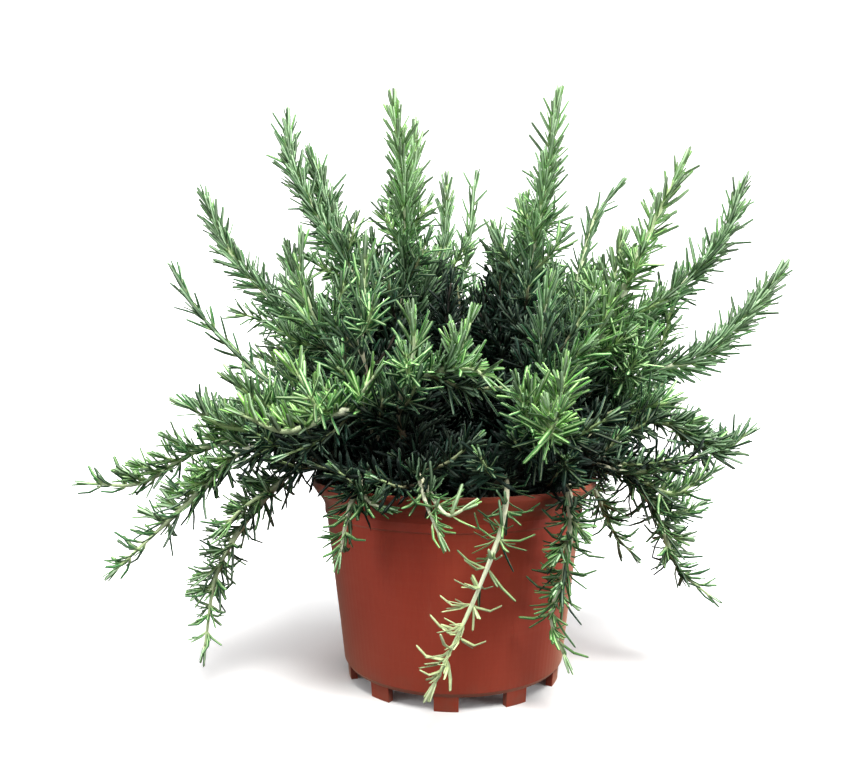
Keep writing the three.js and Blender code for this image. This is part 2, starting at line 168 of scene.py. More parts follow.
# How the needles stand on each kind of shoot: the gap between pairs and how uneven it is, their lean
# from the shoot in degrees at the tip and where they are fully open, how far from the tip that is,
# their bend, how much they turn up and roll, the count and sizes of the young needles in an axil, the
# share that the underside keeps, how often an old one hangs, their length and width, how old they look
# at the tip, how pale the bark is, how thick the stem, and by how many degrees they curl up to the sky
Habit = namedtuple("Habit", "gap uneven lean_tip lean lean_spread open bend bend_spread lift lift_spread"
                            " roll tufts tuft_sizes under hang length wide tone pale stout curl")
UPRIGHT = Habit(gap=0.0043, uneven=0.15, lean_tip=12, lean=52, lean_spread=8, open=0.085, bend=4,
                bend_spread=12, lift=0.02, lift_spread=0.02, roll=0.25, tufts=5.6, tuft_sizes=(0.48, 0.95),
                under=1.0, hang=0.0, length=1.0, wide=1.12, tone=0.03, pale=1.0, stout=1.15, curl=0)
THICK = UPRIGHT._replace(gap=0.0056, lean=62, tufts=3.2, length=0.94, wide=1.20, tone=0.0, stout=2.0)
FEATHER = UPRIGHT._replace(gap=0.0056, lean_tip=13, lean=44, open=0.060, tufts=1.4, wide=1.15, tone=0.05,
                           stout=1.35)
SLIM = UPRIGHT._replace(gap=0.0060, lean=44, open=0.120, tufts=2.6, length=0.95)
SPARSE = SLIM._replace(gap=0.0062, lean=42, tufts=1.5, length=0.88, tone=0.25)
ARCHING = UPRIGHT._replace(gap=0.0050, uneven=0.30, lean_tip=14, lean=50, lean_spread=14, open=0.060,
                           bend=-6, bend_spread=18, lift=0.42, lift_spread=0.30, roll=0.6, tufts=4.2,
                           under=0.45, hang=0.14, length=0.95, wide=1.05)
RISING = ARCHING._replace(gap=0.0068, lean=84, lift=0.90, lift_spread=0.25, tufts=2.6, under=0.35,
                          hang=0.06, length=1.0, wide=1.30, tone=0.0, stout=1.6)
ROSETTE = ARCHING._replace(gap=0.0044, lean_tip=18, lean=66, lean_spread=16, open=0.040, bend=0, lift=0.30,
                           tufts=3.2, under=0.9, hang=0.60, wide=1.10, tone=0.32)
SHADED = ARCHING._replace(gap=0.0038, lean=64, lift=0.60, tufts=5.0, under=0.3, hang=0.70, length=1.05,
                          tone=0.50, pale=0.1, stout=1.3)
DROOPING = ARCHING._replace(gap=0.0078, uneven=0.40, lean_tip=16, lean=58, open=0.045, bend=10,
                            bend_spread=22, lift=0.10, lift_spread=0.15, roll=0.3, tufts=4.8,
                            tuft_sizes=(0.40, 0.90), under=0.8, hang=0.75, length=0.90, tone=0.42, curl=52)
TUFTED = DROOPING._replace(gap=0.0082, lean=62, lift=0.0, lift_spread=0.10, tufts=5.8, under=0.9,
                           hang=0.60, length=0.94)
LUSH = TUFTED._replace(gap=0.0064, lean=56, tufts=7.0, hang=0.30, length=0.98, tone=0.06)
TRAILING = TUFTED._replace(uneven=0.35, lean_spread=16, tufts=4.2, hang=0.05, length=0.95, wide=0.88,
                           tone=0.0, stout=0.72, curl=68)
TWIG = UPRIGHT._replace(gap=0.0048, lean_tip=14, lean=58, open=0.030, bend=0, bend_spread=16, lift=0.08,
                        lift_spread=0.06, tufts=2.4, length=0.88, pale=0.2)
OLD_SHADED_TWIG = TWIG._replace(tone=1.0)
SPUR = TWIG._replace(gap=0.0036, lean_tip=8, lean=38, open=0.024, tufts=1.2, length=0.70, pale=0.9)
# Shares of the way to fully open, and how open, long and tufted the needles are there
OPEN_STAGES = (0.0, 0.25, 0.60, 1.0)
LEAN_STAGES = (0.0, 0.42, 0.76, 1.0)
TIP_LENGTHS = ((0.0, 0.010, 0.026), (0.62, 0.88, 1.0))
TUFT_STAGES = ((0.006, 0.040), (0.15, 1.0))
# A shoot this long or longer passes through all the stages, and a shorter one packs them closer
FULL_SHOOT = 0.12
SHORTEST_STAGES = 0.35
# Needles this old, their age counting the painted shade inside the plant, are hidden inside it, so they
# are copied from the plainest template
HIDDEN_AGE = 0.82
# The habits that carry boughs, those that carry spurs, those with spurs close together, and those
# that are bare of spurs for a longer stretch at the tip
WITH_BOUGHS = (UPRIGHT, THICK, SLIM)
WITH_SPURS = (ARCHING, RISING, ROSETTE, SHADED, DROOPING, TUFTED, LUSH)
CLOSE_SPURS = (ARCHING, SHADED)
BARE_ENDS = (DROOPING, TUFTED, LUSH)

# The painted shade inside the plant, an ellipsoid round its middle
INSIDE_HEIGHT = 0.130
INSIDE_RADIUS = 0.118
INSIDE_RISE = 0.168
INSIDE_FADE = (0.72, 1.08)
# Below the first of these heights fresh needles inside take the full painted shade, as dark as the old
# ones
LOW_SHADE = (0.148, 0.180)
# How much of the painted shade fresh needles are spared, and how old the
# oldest needles look outside
FRESH_SPARED = 0.6
OLDEST_OUTSIDE = 0.70
# Twigs fill the crown, up to this radius and to a top that falls away from its middle
CROWN_RADIUS = 0.115
CROWN_TOP = 0.325
CROWN_FALL = 0.40
# Below these heights twigs count older and less green, partly for their age and partly as painted shade in
# the plant's core
LOW_TWIGS = (0.150, 0.215)
TWIG_AGES = (1.3, 0.75)
TWIG_GREENS = (0.0, 0.5)
# Boughs of the stems that root near the middle lean towards it, each after a share of the stem
CROWN_MIDDLE = (0.010, 0.030)
BOUGHS_WITHIN = 0.068
BOUGH_SHARES = (0.12, 0.22, 0.34, 0.46)
BOUGH_SHORTEST = 0.040
# Where the first spur stands on a shoot, further on where it starts this far forward, the bare
# length beyond the last one, and the gap between spurs
FRONT_ROOTS = -0.045
FIRST_SPUR = 0.045
FRONT_FIRST_SPUR = 0.085
BARE_END = 0.016
LONG_BARE_END = 0.034
SPUR_GAP = 0.009
CLOSE_SPUR_GAP = 0.006
# Twigs and spurs stay above these heights, or clear of the rim
LOWEST_TWIG = COMPOST_TOP + 0.008
LOWEST_SPUR = COMPOST_TOP + 0.012
WITHIN_RIM = 0.080
RIM_ROOM = 0.012

# Each stem: its habit, how fresh its green is, its place in the compost, the points that it passes
# on its way to its tip, and its side shoots, each a share of the stem and two points. All places
# are in millimetres.
Stem = namedtuple("Stem", "name habit fresh root way sides")
STEMS = [
    Stem("tall_left", UPRIGHT, 0.35, (-28, 8),
         [(-44, 4, 200), (-70, -2, 270), (-90, 1, 303), (-110, 6, 342), (-113, 9, 371)],
         [(0.62, (-87, 15, 318), (-99, 25, 351))]),
    Stem("high_left", UPRIGHT, 0.30, (-44, 20),
         [(-80, 14, 200), (-112, 14, 236), (-157, 25, 284), (-176, 30, 322)],
         [(0.45, (-110, 22, 262), (-116, 26, 284))]),
    Stem("mid_left", SPARSE, 0.30, (-54, -4),
         [(-86, -6, 168), (-122, -9, 192), (-169, -12, 240), (-182, -14, 263)],
         [(0.35, (-100, -22, 204), (-104, -28, 222))]),
    Stem("bright_left", RISING, 1.00, (-44, -36),
         [(-50, -60, 166), (-62, -76, 177), (-95, -98, 167), (-116, -104, 176)],
         [(0.5, (-84, -84, 190), (-92, -88, 202)), (0.36, (-54, -84, 186), (-46, -92, 198))]),
    Stem("low_left", SHADED, 0.55, (-56, -22),
         [(-76, -36, 154), (-100, -46, 164), (-136, -55, 166), (-160, -58, 178)],
         [(0.5, (-118, -58, 182), (-130, -64, 192))]),
    Stem("long_left", DROOPING, 0.40, (-66, 8),
         [(-100, -10, 156), (-158, -31, 152), (-200, -34, 129), (-232, -32, 129)],
         [(0.5, (-150, -18, 166), (-166, -14, 176))]),
    Stem("drooping_left", DROOPING, 0.40, (-68, -10),
         [(-98, -34, 153), (-132, -47, 150), (-162, -60, 120), (-200, -66, 84)],
         [(0.55, (-156, -44, 128), (-172, -40, 124))]),
    Stem("hanging_left", TUFTED, 0.35, (-57, -40),
         [(-84, -46, 147), (-112, -42, 128), (-146, -44, 80), (-155, -46, 30)],
         [(0.45, (-128, -54, 118), (-138, -62, 108))]),
    Stem("front_left", FEATHER, 0.50, (-20, -26),
         [(-58, -30, 178), (-78, -34, 219), (-95, -38, 252), (-96, -40, 280)],
         [(0.5, (-84, -48, 224), (-96, -56, 238))]),
    Stem("front_mid_left", FEATHER, 0.55, (-22, -44),
         [(-46, -50, 170), (-57, -58, 214), (-55, -63, 244), (-54, -64, 270)], []),
    Stem("tall_mid", UPRIGHT, 1.00, (-6, 4),
         [(-36, -2, 210), (-33, -2, 262), (-33, -4, 324), (-40, -6, 376)],
         [(0.55, (-29, 8, 312), (-26, 18, 366)), (0.42, (-20, 8, 256), (-14, 14, 278))]),
    Stem("back_mid", SLIM, 0.45, (2, 40), [(-8, 56, 190), (-8, 62, 250), (-4, 68, 300), (-3, 71, 344)],
         [(0.55, (10, 72, 280), (20, 87, 350))]),
    Stem("tall_right", UPRIGHT, 0.70, (22, 2), [(42, 0, 200), (51, 0, 262), (62, 4, 322), (71, 5, 384)],
         [(0.45, (36, 14, 270), (30, 20, 297)), (0.52, (50, 12, 292), (50, 14, 314))]),
    Stem("back_right", SPARSE, 0.60, (30, 46),
         [(70, 56, 200), (97, 62, 272), (111, 72, 318), (131, 79, 344)],
         [(0.5, (76, 74, 262), (72, 82, 284))]),
    Stem("high_right", THICK, 0.95, (44, -14),
         [(76, -12, 180), (98, -11, 222), (132, -14, 299), (150, -16, 336)],
         [(0.35, (94, -22, 226), (100, -27, 247)), (0.5, (108, -4, 264), (114, 0, 289))]),
    Stem("far_right", UPRIGHT, 0.45, (50, 16),
         [(88, 12, 190), (136, 12, 238), (188, 20, 291), (205, 24, 330)],
         [(0.3, (106, 22, 222), (110, 28, 244))]),
    Stem("long_right", UPRIGHT, 0.45, (66, 2),
         [(98, 0, 178), (136, 4, 201), (170, 11, 209), (214, 24, 247), (235, 31, 270)],
         [(0.34, (118, -10, 206), (128, -16, 222))]),
    Stem("front_mid", ARCHING, 0.65, (-4, -56),
         [(-34, -78, 172), (-28, -88, 194), (-4, -102, 204), (6, -107, 226)],
         [(0.55, (-24, -96, 214), (-26, -100, 228)), (0.72, (8, -107, 201), (13, -112, 197))]),
    Stem("front_right", ROSETTE, 0.85, (32, -50),
         [(42, -84, 156), (46, -112, 165), (46, -134, 172), (45, -150, 178)],
         [(0.55, (52, -112, 183), (54, -118, 198)), (0.5, (40, -108, 178), (37, -116, 190))]),
    Stem("inner_right", UPRIGHT, 0.80, (32, -26), [(52, -38, 180), (54, -41, 220), (57, -44, 252)],
         [(0.5, (68, -52, 204), (78, -60, 216))]),
    Stem("low_right", SHADED, 0.20, (69, -17),
         [(96, -8, 160), (140, -2, 166), (180, 3, 144), (200, 6, 156)],
         [(0.4, (122, -20, 176), (136, -28, 180))]),
    Stem("hanging_right", TUFTED, 0.30, (62, -36),
         [(90, -34, 146), (124, -31, 118), (144, -26, 74), (164, -24, 56)],
         [(0.28, (108, -46, 138), (126, -62, 142)), (0.4, (136, -40, 124), (156, -44, 136)),
          (0.52, (144, -20, 108), (160, -16, 112))]),
    Stem("hanging_back_right", TUFTED, 0.30, (58, 40),
         [(84, 46, 146), (108, 51, 110), (124, 58, 78), (138, 62, 62)],
         [(0.4, (108, 38, 126), (120, 30, 132))]),
    Stem("over_rim_right", LUSH, 0.90, (46, -56),
         [(60, -72, 146), (64, -84, 117), (60, -85, 84), (53, -85, 60), (60, -86, 40)], []),
    Stem("over_rim_front", TRAILING, 1.60, (16, -68),
         [(26, -96, 142), (24, -108, 122), (10, -112, 84), (-13, -116, 36)], []),
    Stem("over_rim_left", LUSH, 0.85, (-40, -58), [(-52, -76, 142), (-61, -86, 122), (-66, -88, 98)],
         [(0.55, (-50, -94, 128), (-42, -100, 126))]),
    Stem("over_rim_small", TRAILING, 1.12, (-16, -70),
         [(-22, -96, 144), (-18, -108, 130), (-11, -112, 114)], [(0.62, (-6, -114, 124), (2, -118, 128))]),
    Stem("back_tall_left", UPRIGHT, 0.35, (-20, 42), [(-44, 62, 190), (-68, 82, 240), (-84, 96, 290)],
         [(0.5, (-48, 90, 228), (-40, 102, 248))]),
    Stem("back_low_left", ARCHING, 0.35, (-42, 46), [(-82, 72, 172), (-124, 96, 196), (-156, 106, 212)],
         [(0.5, (-98, 100, 206), (-104, 112, 224))]),
    Stem("back_tall", UPRIGHT, 0.40, (8, 62), [(16, 88, 180), (24, 112, 232), (22, 132, 276)],
         [(0.55, (42, 112, 224), (54, 122, 240))]),
    Stem("back_hanging", TUFTED, 0.50, (-12, 70),
         [(-20, 98, 143), (-26, 126, 130), (-32, 146, 94), (-30, 152, 62)], []),
    Stem("back_hanging_right", TUFTED, 0.50, (32, 64),
         [(42, 90, 144), (52, 112, 132), (66, 124, 104)], []),
    Stem("back_wide_right", ARCHING, 0.35, (48, 54), [(78, 84, 164), (104, 112, 192), (118, 126, 222)],
         [(0.5, (108, 96, 176), (126, 102, 184))]),
    Stem("back_hanging_left", TUFTED, 0.50, (-40, 62),
         [(-54, 84, 143), (-70, 100, 124), (-82, 106, 88)], []),
    Stem("back_long_right", DROOPING, 0.35, (70, 24), [(104, 38, 160), (146, 62, 178), (182, 86, 206)],
         [(0.5, (140, 72, 160), (154, 86, 156))]),
    Stem("back_long_left", DROOPING, 0.40, (-64, 30),
         [(-100, 42, 156), (-150, 58, 160), (-192, 68, 176)], [(0.5, (-136, 72, 176), (-150, 84, 184))]),
]


# Directions
UP = np.array([0, 0, 1.0])
LEVEL = np.array([1, 1, 0])
TINY = 1e-6


def metres(point):
    """A point of the table of stems in metres."""
    return tuple(value / 1000 for value in point)


def unit(vector):
    return vector / max(np.linalg.norm(vector), TINY)


def unit_rows(vectors):
    return vectors / np.maximum(np.linalg.norm(vectors, axis=1), TINY)[:, None]


def square_to(vector, along):
    """The part of a vector that is square to a direction, as a direction."""
    return unit(vector - along * vector.dot(along))


def swing(angle, start, aside):
    """The direction that lies an angle away from one direction, towards another."""
    return math.cos(angle) * start + math.sin(angle) * aside


# Routes
def curve_route(points):
    """Points close together on the centripetal Catmull-Rom curve through the given ones."""
    points = [np.array(p, float) for p in points]
    ends = [2 * points[0] - points[1]] + points + [2 * points[-1] - points[-2]]
    route = [points[0]]
    for k in range(len(points) - 1):
        p0, p1, p2, p3 = ends[k:k + 4]
        d0, d1, d2 = (math.sqrt(np.linalg.norm(b - a)) for a, b in ((p0, p1), (p1, p2), (p2, p3)))
        m1 = ((p1 - p0) / d0 - (p2 - p0) / (d0 + d1) + (p2 - p1) / d1) * d1
        m2 = ((p2 - p1) / d1 - (p3 - p1) / (d1 + d2) + (p3 - p2) / d2) * d1
        parts = max(2, round(np.linalg.norm(p2 - p1) / ROUTE_STEP))
        for j in range(1, parts + 1):
            t = j / parts
            h = (2 * t**3 - 3 * t**2 + 1, t**3 - 2 * t**2 + t, 3 * t**2 - 2 * t**3, t**3 - t**2)
            route.append(h[0] * p1 + h[1] * m1 + h[2] * p2 + h[3] * m2)
    return np.array(route)


class Shoot:
    """A route with a frame at each of its points, which turns no more than the bends ask."""

    def __init__(self, points, thick, habit, bare, age, fresh):
        self.thick = thick
        self.habit = habit
        self.bare = bare
        self.age = age
        self.fresh = fresh
        self.route = curve_route(points)
        steps = np.linalg.norm(np.diff(self.route, axis=0), axis=1)
        self.reach = np.concatenate([[0.0], np.cumsum(steps)])
        self.length = self.reach[-1]
        along = unit_rows(np.gradient(self.route, axis=0))
        normals = np.zeros_like(self.route)
        normal = np.array([0.8, 0.6, 0.0])
        for i, direction in enumerate(along):
            normal = square_to(normal, direction)
            normals[i] = normal
        self.columns = np.hstack([self.route, along, normals]).T.copy()

    def at(self, reach):
        """The place, direction and two crosswise directions after a length of the shoot."""
        found = np.array([np.interp(reach, self.reach, column) for column in self.columns])
        place, along, normal = found.reshape(3, 3)
        along = unit(along)
        normal = square_to(normal, along)
        return place, along, normal, np.cross(along, normal)

    def radius(self, reach):
        return self.thick + (TIP_RADIUS - self.thick) * (reach / self.length) ** BARK_TAPER


def stem_shoots(stem, draw):
    """A stem and its side shoots, with the twigs, boughs and spurs that make the plant dense."""
    habit, fresh = stem.habit, stem.fresh
    root = metres(stem.root)
    way = [(*root, COMPOST_TOP - FOOT_DEPTH), (*root, COMPOST_TOP + FOOT_RISE), *map(metres, stem.way)]
    main = Shoot(way, STEM_RADIUS * habit.stout, habit, BARE_STEM, STEM_AGE, fresh)
    shoots = [main]
    for share, *way in stem.sides:
        start = main.at(share * main.length)[0]
        shoots.append(Shoot([start, *map(metres, way)], SIDE_RADIUS, habit, BARE_SIDE, SIDE_AGE, fresh))
    reach = FIRST_TWIG
    turn = draw.uniform(0, 2 * math.pi)
    while reach < LAST_TWIG_SHARE * main.length:
        shoots += grow_twig(main, reach, turn, draw)
        reach += draw.uniform(*TWIG_GAPS)
        turn += TWIG_TURN
    if habit in WITH_BOUGHS and math.hypot(*root) < BOUGHS_WITHIN:
        for share in BOUGH_SHARES:
            shoots += grow_bough(main, share, draw)
    if habit in WITH_SPURS:
        for shoot in shoots[:1 + len(stem.sides)]:
            shoots += grow_spurs(shoot, draw)
    return shoots


def crown_room(place):
    """How far a place lies below the top of the crown."""
    return CROWN_TOP - CROWN_FALL * math.hypot(place[0], place[1]) - place[2]


def bend_on(middle, heading, length):
    """The end of a shoot whose second half points along a heading."""
    return middle + 0.5 * length * heading / np.linalg.norm(heading)


def grow_twig(main, reach, turn, draw):
    """A short leafy twig that turns upwards, left out where it would meet the compost or the rim."""
    place, along, normal, across = main.at(reach)
    room = crown_room(place)
    if math.hypot(place[0], place[1]) > CROWN_RADIUS or room < 0:
        return []
    out = swing(turn, normal, across)
    heading = swing(math.radians(draw.uniform(*TWIG_LEANS)), along, out)
    length = min(draw.uniform(*TWIG_LENGTHS), 0.017 + 0.4 * room)
    middle = place + 0.5 * length * heading
    end = bend_on(middle, heading + [0, 0, 0.35], length)
    low = min(middle[2], end[2]) < LOWEST_TWIG
    if low or (math.hypot(end[0], end[1]) > WITHIN_RIM and end[2] < POT_HEIGHT + RIM_ROOM):
        return []
    # Lower twigs are darker: partly older, partly painted shade
    age = np.interp(end[2], LOW_TWIGS, TWIG_AGES)
    green = np.interp(end[2], LOW_TWIGS, TWIG_GREENS)
    habit = OLD_SHADED_TWIG if age > 1 else TWIG
    return [Shoot([place, middle, end], TWIG_RADIUS, habit, BARE_TWIG, age, green * main.fresh)]


def grow_bough(main, share, draw):
    """A leafy side branch that rises through the dense middle of the plant."""
    place, along, _, _ = main.at(share * main.length)
    inward = unit(np.array([*CROWN_MIDDLE, 0]) - place * LEVEL)
    heading = unit(0.5 * along + draw.uniform(0.3, 0.9) * inward + draw.normal(0, 0.25, 3) * LEVEL)
    length = draw.uniform(0.75, 0.95) * crown_room(place)
    if length < BOUGH_SHORTEST:
        return []
    middle = place + 0.45 * length * heading
    end = bend_on(middle, 0.5 * heading + [0, 0, 0.75], length)
    return [Shoot([place, middle, end], BOUGH_RADIUS, TWIG, BARE_SIDE, BOUGH_AGE, 0.5 * main.fresh)]


def grow_spurs(shoot, draw):
    """Short leafy spurs that rise from the upper side of a spreading shoot."""
    spurs = []
    reach = FIRST_SPUR if shoot.route[0][1] > FRONT_ROOTS else FRONT_FIRST_SPUR
    bare_end = LONG_BARE_END if shoot.habit in BARE_ENDS else BARE_END
    gap = CLOSE_SPUR_GAP if shoot.habit in CLOSE_SPURS else SPUR_GAP
    fresh = min(1.0, shoot.fresh + 0.1)
    while reach < shoot.length - bare_end:
        place, along, _, _ = shoot.at(reach)
        side = unit(np.cross(along, UP))
        out = swing(math.radians(draw.uniform(*SPUR_TURNS)), np.cross(side, along), side)
        heading = swing(math.radians(draw.uniform(*SPUR_LEANS)), along, out)
        length = draw.uniform(0.008, 0.009 + 0.17 * min(0.10, shoot.length - reach))
        middle = place + 0.5 * length * heading
        end = middle + 0.5 * length * (heading + [0, 0, 0.25])
        if min(middle[2], end[2]) > LOWEST_SPUR or math.hypot(end[0], end[1]) > RIM_RADIUS + RIM_ROOM:
            spurs.append(Shoot([place, middle, end], TWIG_RADIUS, SPUR, BARE_SPUR, SPUR_AGE, fresh))
        reach += draw.uniform(gap, 1.7 * gap)
    return spurs


# The pot's outline, for what has to stay clear of it
POT_OUTSIDE = np.array(POT_PROFILE[5:19])
POT_INSIDE = np.array(POT_PROFILE[20:30])[::-1]


def meets_pot(places, room):
    """Which of the places lie in the pot, in the compost or below the ground, with some room."""
    radius = np.hypot(places[..., 0], places[..., 1])
    height = places[..., 2]
    outer = np.interp(height, POT_OUTSIDE[:, 1], POT_OUTSIDE[:, 0]) + room
    inner = np.interp(height, POT_INSIDE[:, 1], POT_INSIDE[:, 0]) - room
    in_wall = (height < POT_HEIGHT + room) & (radius < outer) & (radius > inner)
    in_compost = (height < COMPOST_TOP + room) & (radius <= inner)
    return in_wall | in_compost | (height < room)


def leaves_box(places):
    low, high = (np.array(corner) for corner in cad_box)
    return ((places < low + INSIDE_BOX) | (places > high - INSIDE_BOX)).any(-1)


# Needles
# The shares of a needle's length at which it is tested against the pot and the plant's box
LEAF_SHARES = np.array([0.35, 0.7, 1.0])
# Where a needle or a tuft stands, and how its needles grow there
Axil = namedtuple("Axil", "root along out lean length age shoot")


class Needles:
    """A list of needles that grows: where each stands, how it points, bends and is coloured."""

    def __init__(self):
        self.rows = []

    def add(self, place, heading, upper, length, width, bend, age, fresh, tint):
        self.rows.append((*place, *heading, *upper, length, width, bend, age, fresh, tint))

    def arrays(self):
        table = np.array(self.rows)
        place, heading, upper = table[:, 0:3], table[:, 3:6], table[:, 6:9]
        return place, heading, upper, *table[:, 9:15].T


def centre_line(place, heading, upper, length, bend, shares):
    """Points at shares of each needle's length, on an arc that turns by its bend."""
    bend = np.where(np.abs(bend) < 1e-3, 1e-3, bend)[:, None]
    angle = bend * shares[None, :]
    ahead = (np.sin(angle) / bend)[..., None] * heading[:, None, :]
    aside = ((1 - np.cos(angle)) / bend)[..., None] * upper[:, None, :]
    return place[:, None, :] + length[:, None, None] * (ahead + aside)


def lean_out(along, out, lean, lift, roll):
    """The direction of a needle and of its upper face."""
    heading = unit(swing(lean, along, out) + np.array([0, 0, lift]))
    upper = square_to(math.sin(lean) * along - math.cos(lean) * out, heading)
    return heading, swing(roll, upper, np.cross(heading, upper))


def point_needle(axil, out, angle, roll, draw):
    """The direction and upper face of a needle that leans out of its axil, with some lift and roll."""
    habit = axil.shoot.habit
    lift = max(0.0, draw.normal(habit.lift, habit.lift_spread))
    return lean_out(axil.along, out, angle, lift, draw.normal(0, roll))


def settle_needle(habit, heading, upper, bend, draw):
    """A needle's upper face and bend: on a hanging shoot it faces the sky and its tip curls up."""
    if habit.curl:
        upper = unit(UP - heading * heading[2] + 0.35 * upper)
        bend = draw.normal(habit.curl, 0.4 * habit.curl)
    return upper, math.radians(bend)


def grow_needles(shoot, big, small, draw):
    """Opposite pairs, each a quarter turn on from the last, with a tuft of young needles in the axils."""
    habit = shoot.habit
    pack = min(1.0, max(SHORTEST_STAGES, shoot.length / FULL_SHOOT))
    reach = shoot.bare
    turn = draw.uniform(0, math.pi)
    while reach < shoot.length - TIP_GAP:
        left = (shoot.length - reach) / pack
        turn += math.pi / 2 + draw.normal(0, PAIR_SPREAD)
        place, along, normal, across = shoot.at(reach)
        age = shoot.age * min(1.0, habit.tone + left / AGEING)
        opened = np.interp(left / habit.open, OPEN_STAGES, LEAN_STAGES)
        lean = habit.lean_tip + (habit.lean - habit.lean_tip) * opened
        length = NEEDLE_LENGTH * habit.length * np.interp(left, *TIP_LENGTHS)
        tufts = habit.tufts * np.interp(left, *TUFT_STAGES)
        for side in (0, math.pi):
            out = swing(turn + side, normal, across)
            if out[2] < UNDERSIDE and draw.random() > habit.under:
                continue
            root = place + out * 0.6 * shoot.radius(reach)
            axil = Axil(root, along, out, lean, length, age, shoot)
            grow_leaf(big, axil, draw)
            grow_tuft(small, axil, tufts, draw)
            if left > HANG_BEYOND and draw.random() < habit.hang:
                hang_leaf(big, axil, draw)
        reach += habit.gap * draw.uniform(1 - habit.uneven, 1 + habit.uneven)
    close_tip(shoot, big, small, turn, draw)


def grow_leaf(needles, axil, draw):
    """One needle of a pair, with its lean, bend, size and tint a little uneven."""
    habit = axil.shoot.habit
    angle = math.radians(max(4, draw.normal(axil.lean, habit.lean_spread)))
    heading, upper = point_needle(axil, axil.out, angle, habit.roll, draw)
    bend = draw.normal(habit.bend, habit.bend_spread) * min(1.0, axil.lean / 30)
    upper, bend = settle_needle(habit, heading, upper, bend, draw)
    width = NEEDLE_WIDTH * habit.wide * draw.uniform(0.85, 1.12)
    tint = draw.uniform(-1, 1)
    length = axil.length * draw.uniform(0.84, 1.16)
    needles.add(axil.root, heading, upper, length, width, bend, axil.age, axil.shoot.fresh, tint)


def hang_leaf(needles, axil, draw):
    """A long, thin and dark old needle that hangs down."""
    lean = math.radians(draw.uniform(*HANG_LEANS))
    heading, upper = lean_out(axil.along, axil.out, lean, draw.uniform(*HANG_LIFTS), 0.0)
    length = NEEDLE_LENGTH * draw.uniform(0.85, 1.25)
    bend = math.radians(draw.normal(0, 30))
    age = draw.uniform(0.75, 0.95)
    needles.add(axil.root, heading, upper, length, NARROW * NEEDLE_WIDTH, bend, age, 0.0, 0.0)


def grow_tuft(needles, axil, tufts, draw):
    """Young needles of uneven sizes that crowd in an axil."""
    habit, fresh = axil.shoot.habit, axil.shoot.fresh
    fresh = max(fresh, min(1.0, fresh + 0.15))
    across = np.cross(axil.along, axil.out)
    for _ in range(min(draw.poisson(tufts), MOST_IN_TUFT)):
        way = swing(math.radians(draw.uniform(*TUFT_TURNS)), axil.out, across)
        angle = math.radians(max(5, axil.lean * draw.uniform(0.45, 1.15)))
        heading, upper = point_needle(axil, way, angle, habit.roll + 0.15, draw)
        length = axil.length * draw.uniform(*habit.tuft_sizes)
        width = NEEDLE_WIDTH * habit.wide * draw.uniform(0.70, 0.98)
        bend = draw.normal(0.5 * habit.bend, habit.bend_spread)
        upper, bend = settle_needle(habit, heading, upper, bend, draw)
        tint = draw.uniform(-1, 1)
        needles.add(axil.root, heading, upper, length, width, bend, 0.80 * axil.age, fresh, tint)


def close_tip(shoot, big, small, turn, draw):
    """The last two young pairs stand almost upright round the bud."""
    place, along, normal, across = shoot.at(shoot.length - 0.0008)
    for k in range(4):
        inner = k > 1
        out = swing(turn + k * math.pi + (math.pi / 2 if inner else 0), normal, across)
        lean = math.radians(draw.uniform(*BUD_LEANS) + (4 if inner else 0))
        heading, upper = lean_out(along, out, lean, 0, draw.normal(0, 0.2))
        size = 0.56 if inner else 0.64
        length = NEEDLE_LENGTH * shoot.habit.length * size * draw.uniform(0.9, 1.1)
        root = place + out * 0.4 * TIP_RADIUS
        needles = small if inner else big
        width, tint = NARROW * NEEDLE_WIDTH, draw.uniform(-1, 1)
        needles.add(root, heading, upper, length, width, BUD_BEND, BUD_AGE, shoot.fresh, tint)


def paint_inside_shade(place, age, fresh):
    """Painted shade: needles and stems count as older, and so darker, the deeper they are inside the
    plant, fresh ones less so.
    """
    radius = np.hypot(place[:, 0], place[:, 1]) / INSIDE_RADIUS
    height = (place[:, 2] - INSIDE_HEIGHT) / INSIDE_RISE
    away = np.hypot(radius, height)
    low, high = INSIDE_FADE
    share = np.clip((high - away) / (high - low), 0, 1)
    above = np.clip((place[:, 2] - LOW_SHADE[0]) / (LOW_SHADE[1] - LOW_SHADE[0]), 0, 1)
    share = share * share * (3 - 2 * share) * (1 - FRESH_SPARED * above * np.minimum(fresh, 1)**2)
    return 1 - (1 - OLDEST_OUTSIDE * age) * (1 - share)


def keep_clear(rows):
    """Needles that would meet the pot or leave the plant's box turn up, then grow shorter, then go."""
    place, heading, upper, length, width, bend, age, fresh, tint = rows
    push = np.where(place[:, 2:3] > POT_HEIGHT - 0.01, UP, unit_rows(place * LEVEL))
    for _ in range(CLEARING_ROUNDS):
        line = centre_line(place, heading, upper, length, bend, LEAF_SHARES)
        in_pot = meets_pot(line, NEEDLE_ROOM).any(1)
        heading = np.where(in_pot[:, None], unit_rows(heading + 0.45 * push), heading)
        bend = np.where(in_pot, 0.5 * bend, bend)
        upper = unit_rows(upper - heading * (upper * heading).sum(1)[:, None])
        length = np.where(leaves_box(line).any(1) | in_pot, 0.88 * length, length)
    line = centre_line(place, heading, upper, length, bend, LEAF_SHARES)
    keep = ~(meets_pot(line, NEEDLE_ROOM).any(1) | leaves_box(line).any(1))
    # The needles' age also takes on the painted shade inside the plant
    age = paint_inside_shade(place, age, fresh)
    return [column[keep] for column in (place, heading, upper, length, width, bend, age, fresh, tint)]


# Modelling helpers
def finish_name(piece, name):
    piece.name = name
    piece.data.name = name
    return piece


def pick(pieces):
    """Selects only these pieces and makes the first one active."""
    bpy.ops.object.select_all(action="DESELECT")
    for piece in pieces:
        piece.select_set(True)
    bpy.context.view_layer.objects.active = pieces[0]


def edit_all():
    """Enters edit mode with everything selected."""
    bpy.ops.object.mode_set(mode="EDIT")
    bpy.ops.mesh.select_all(action="SELECT")


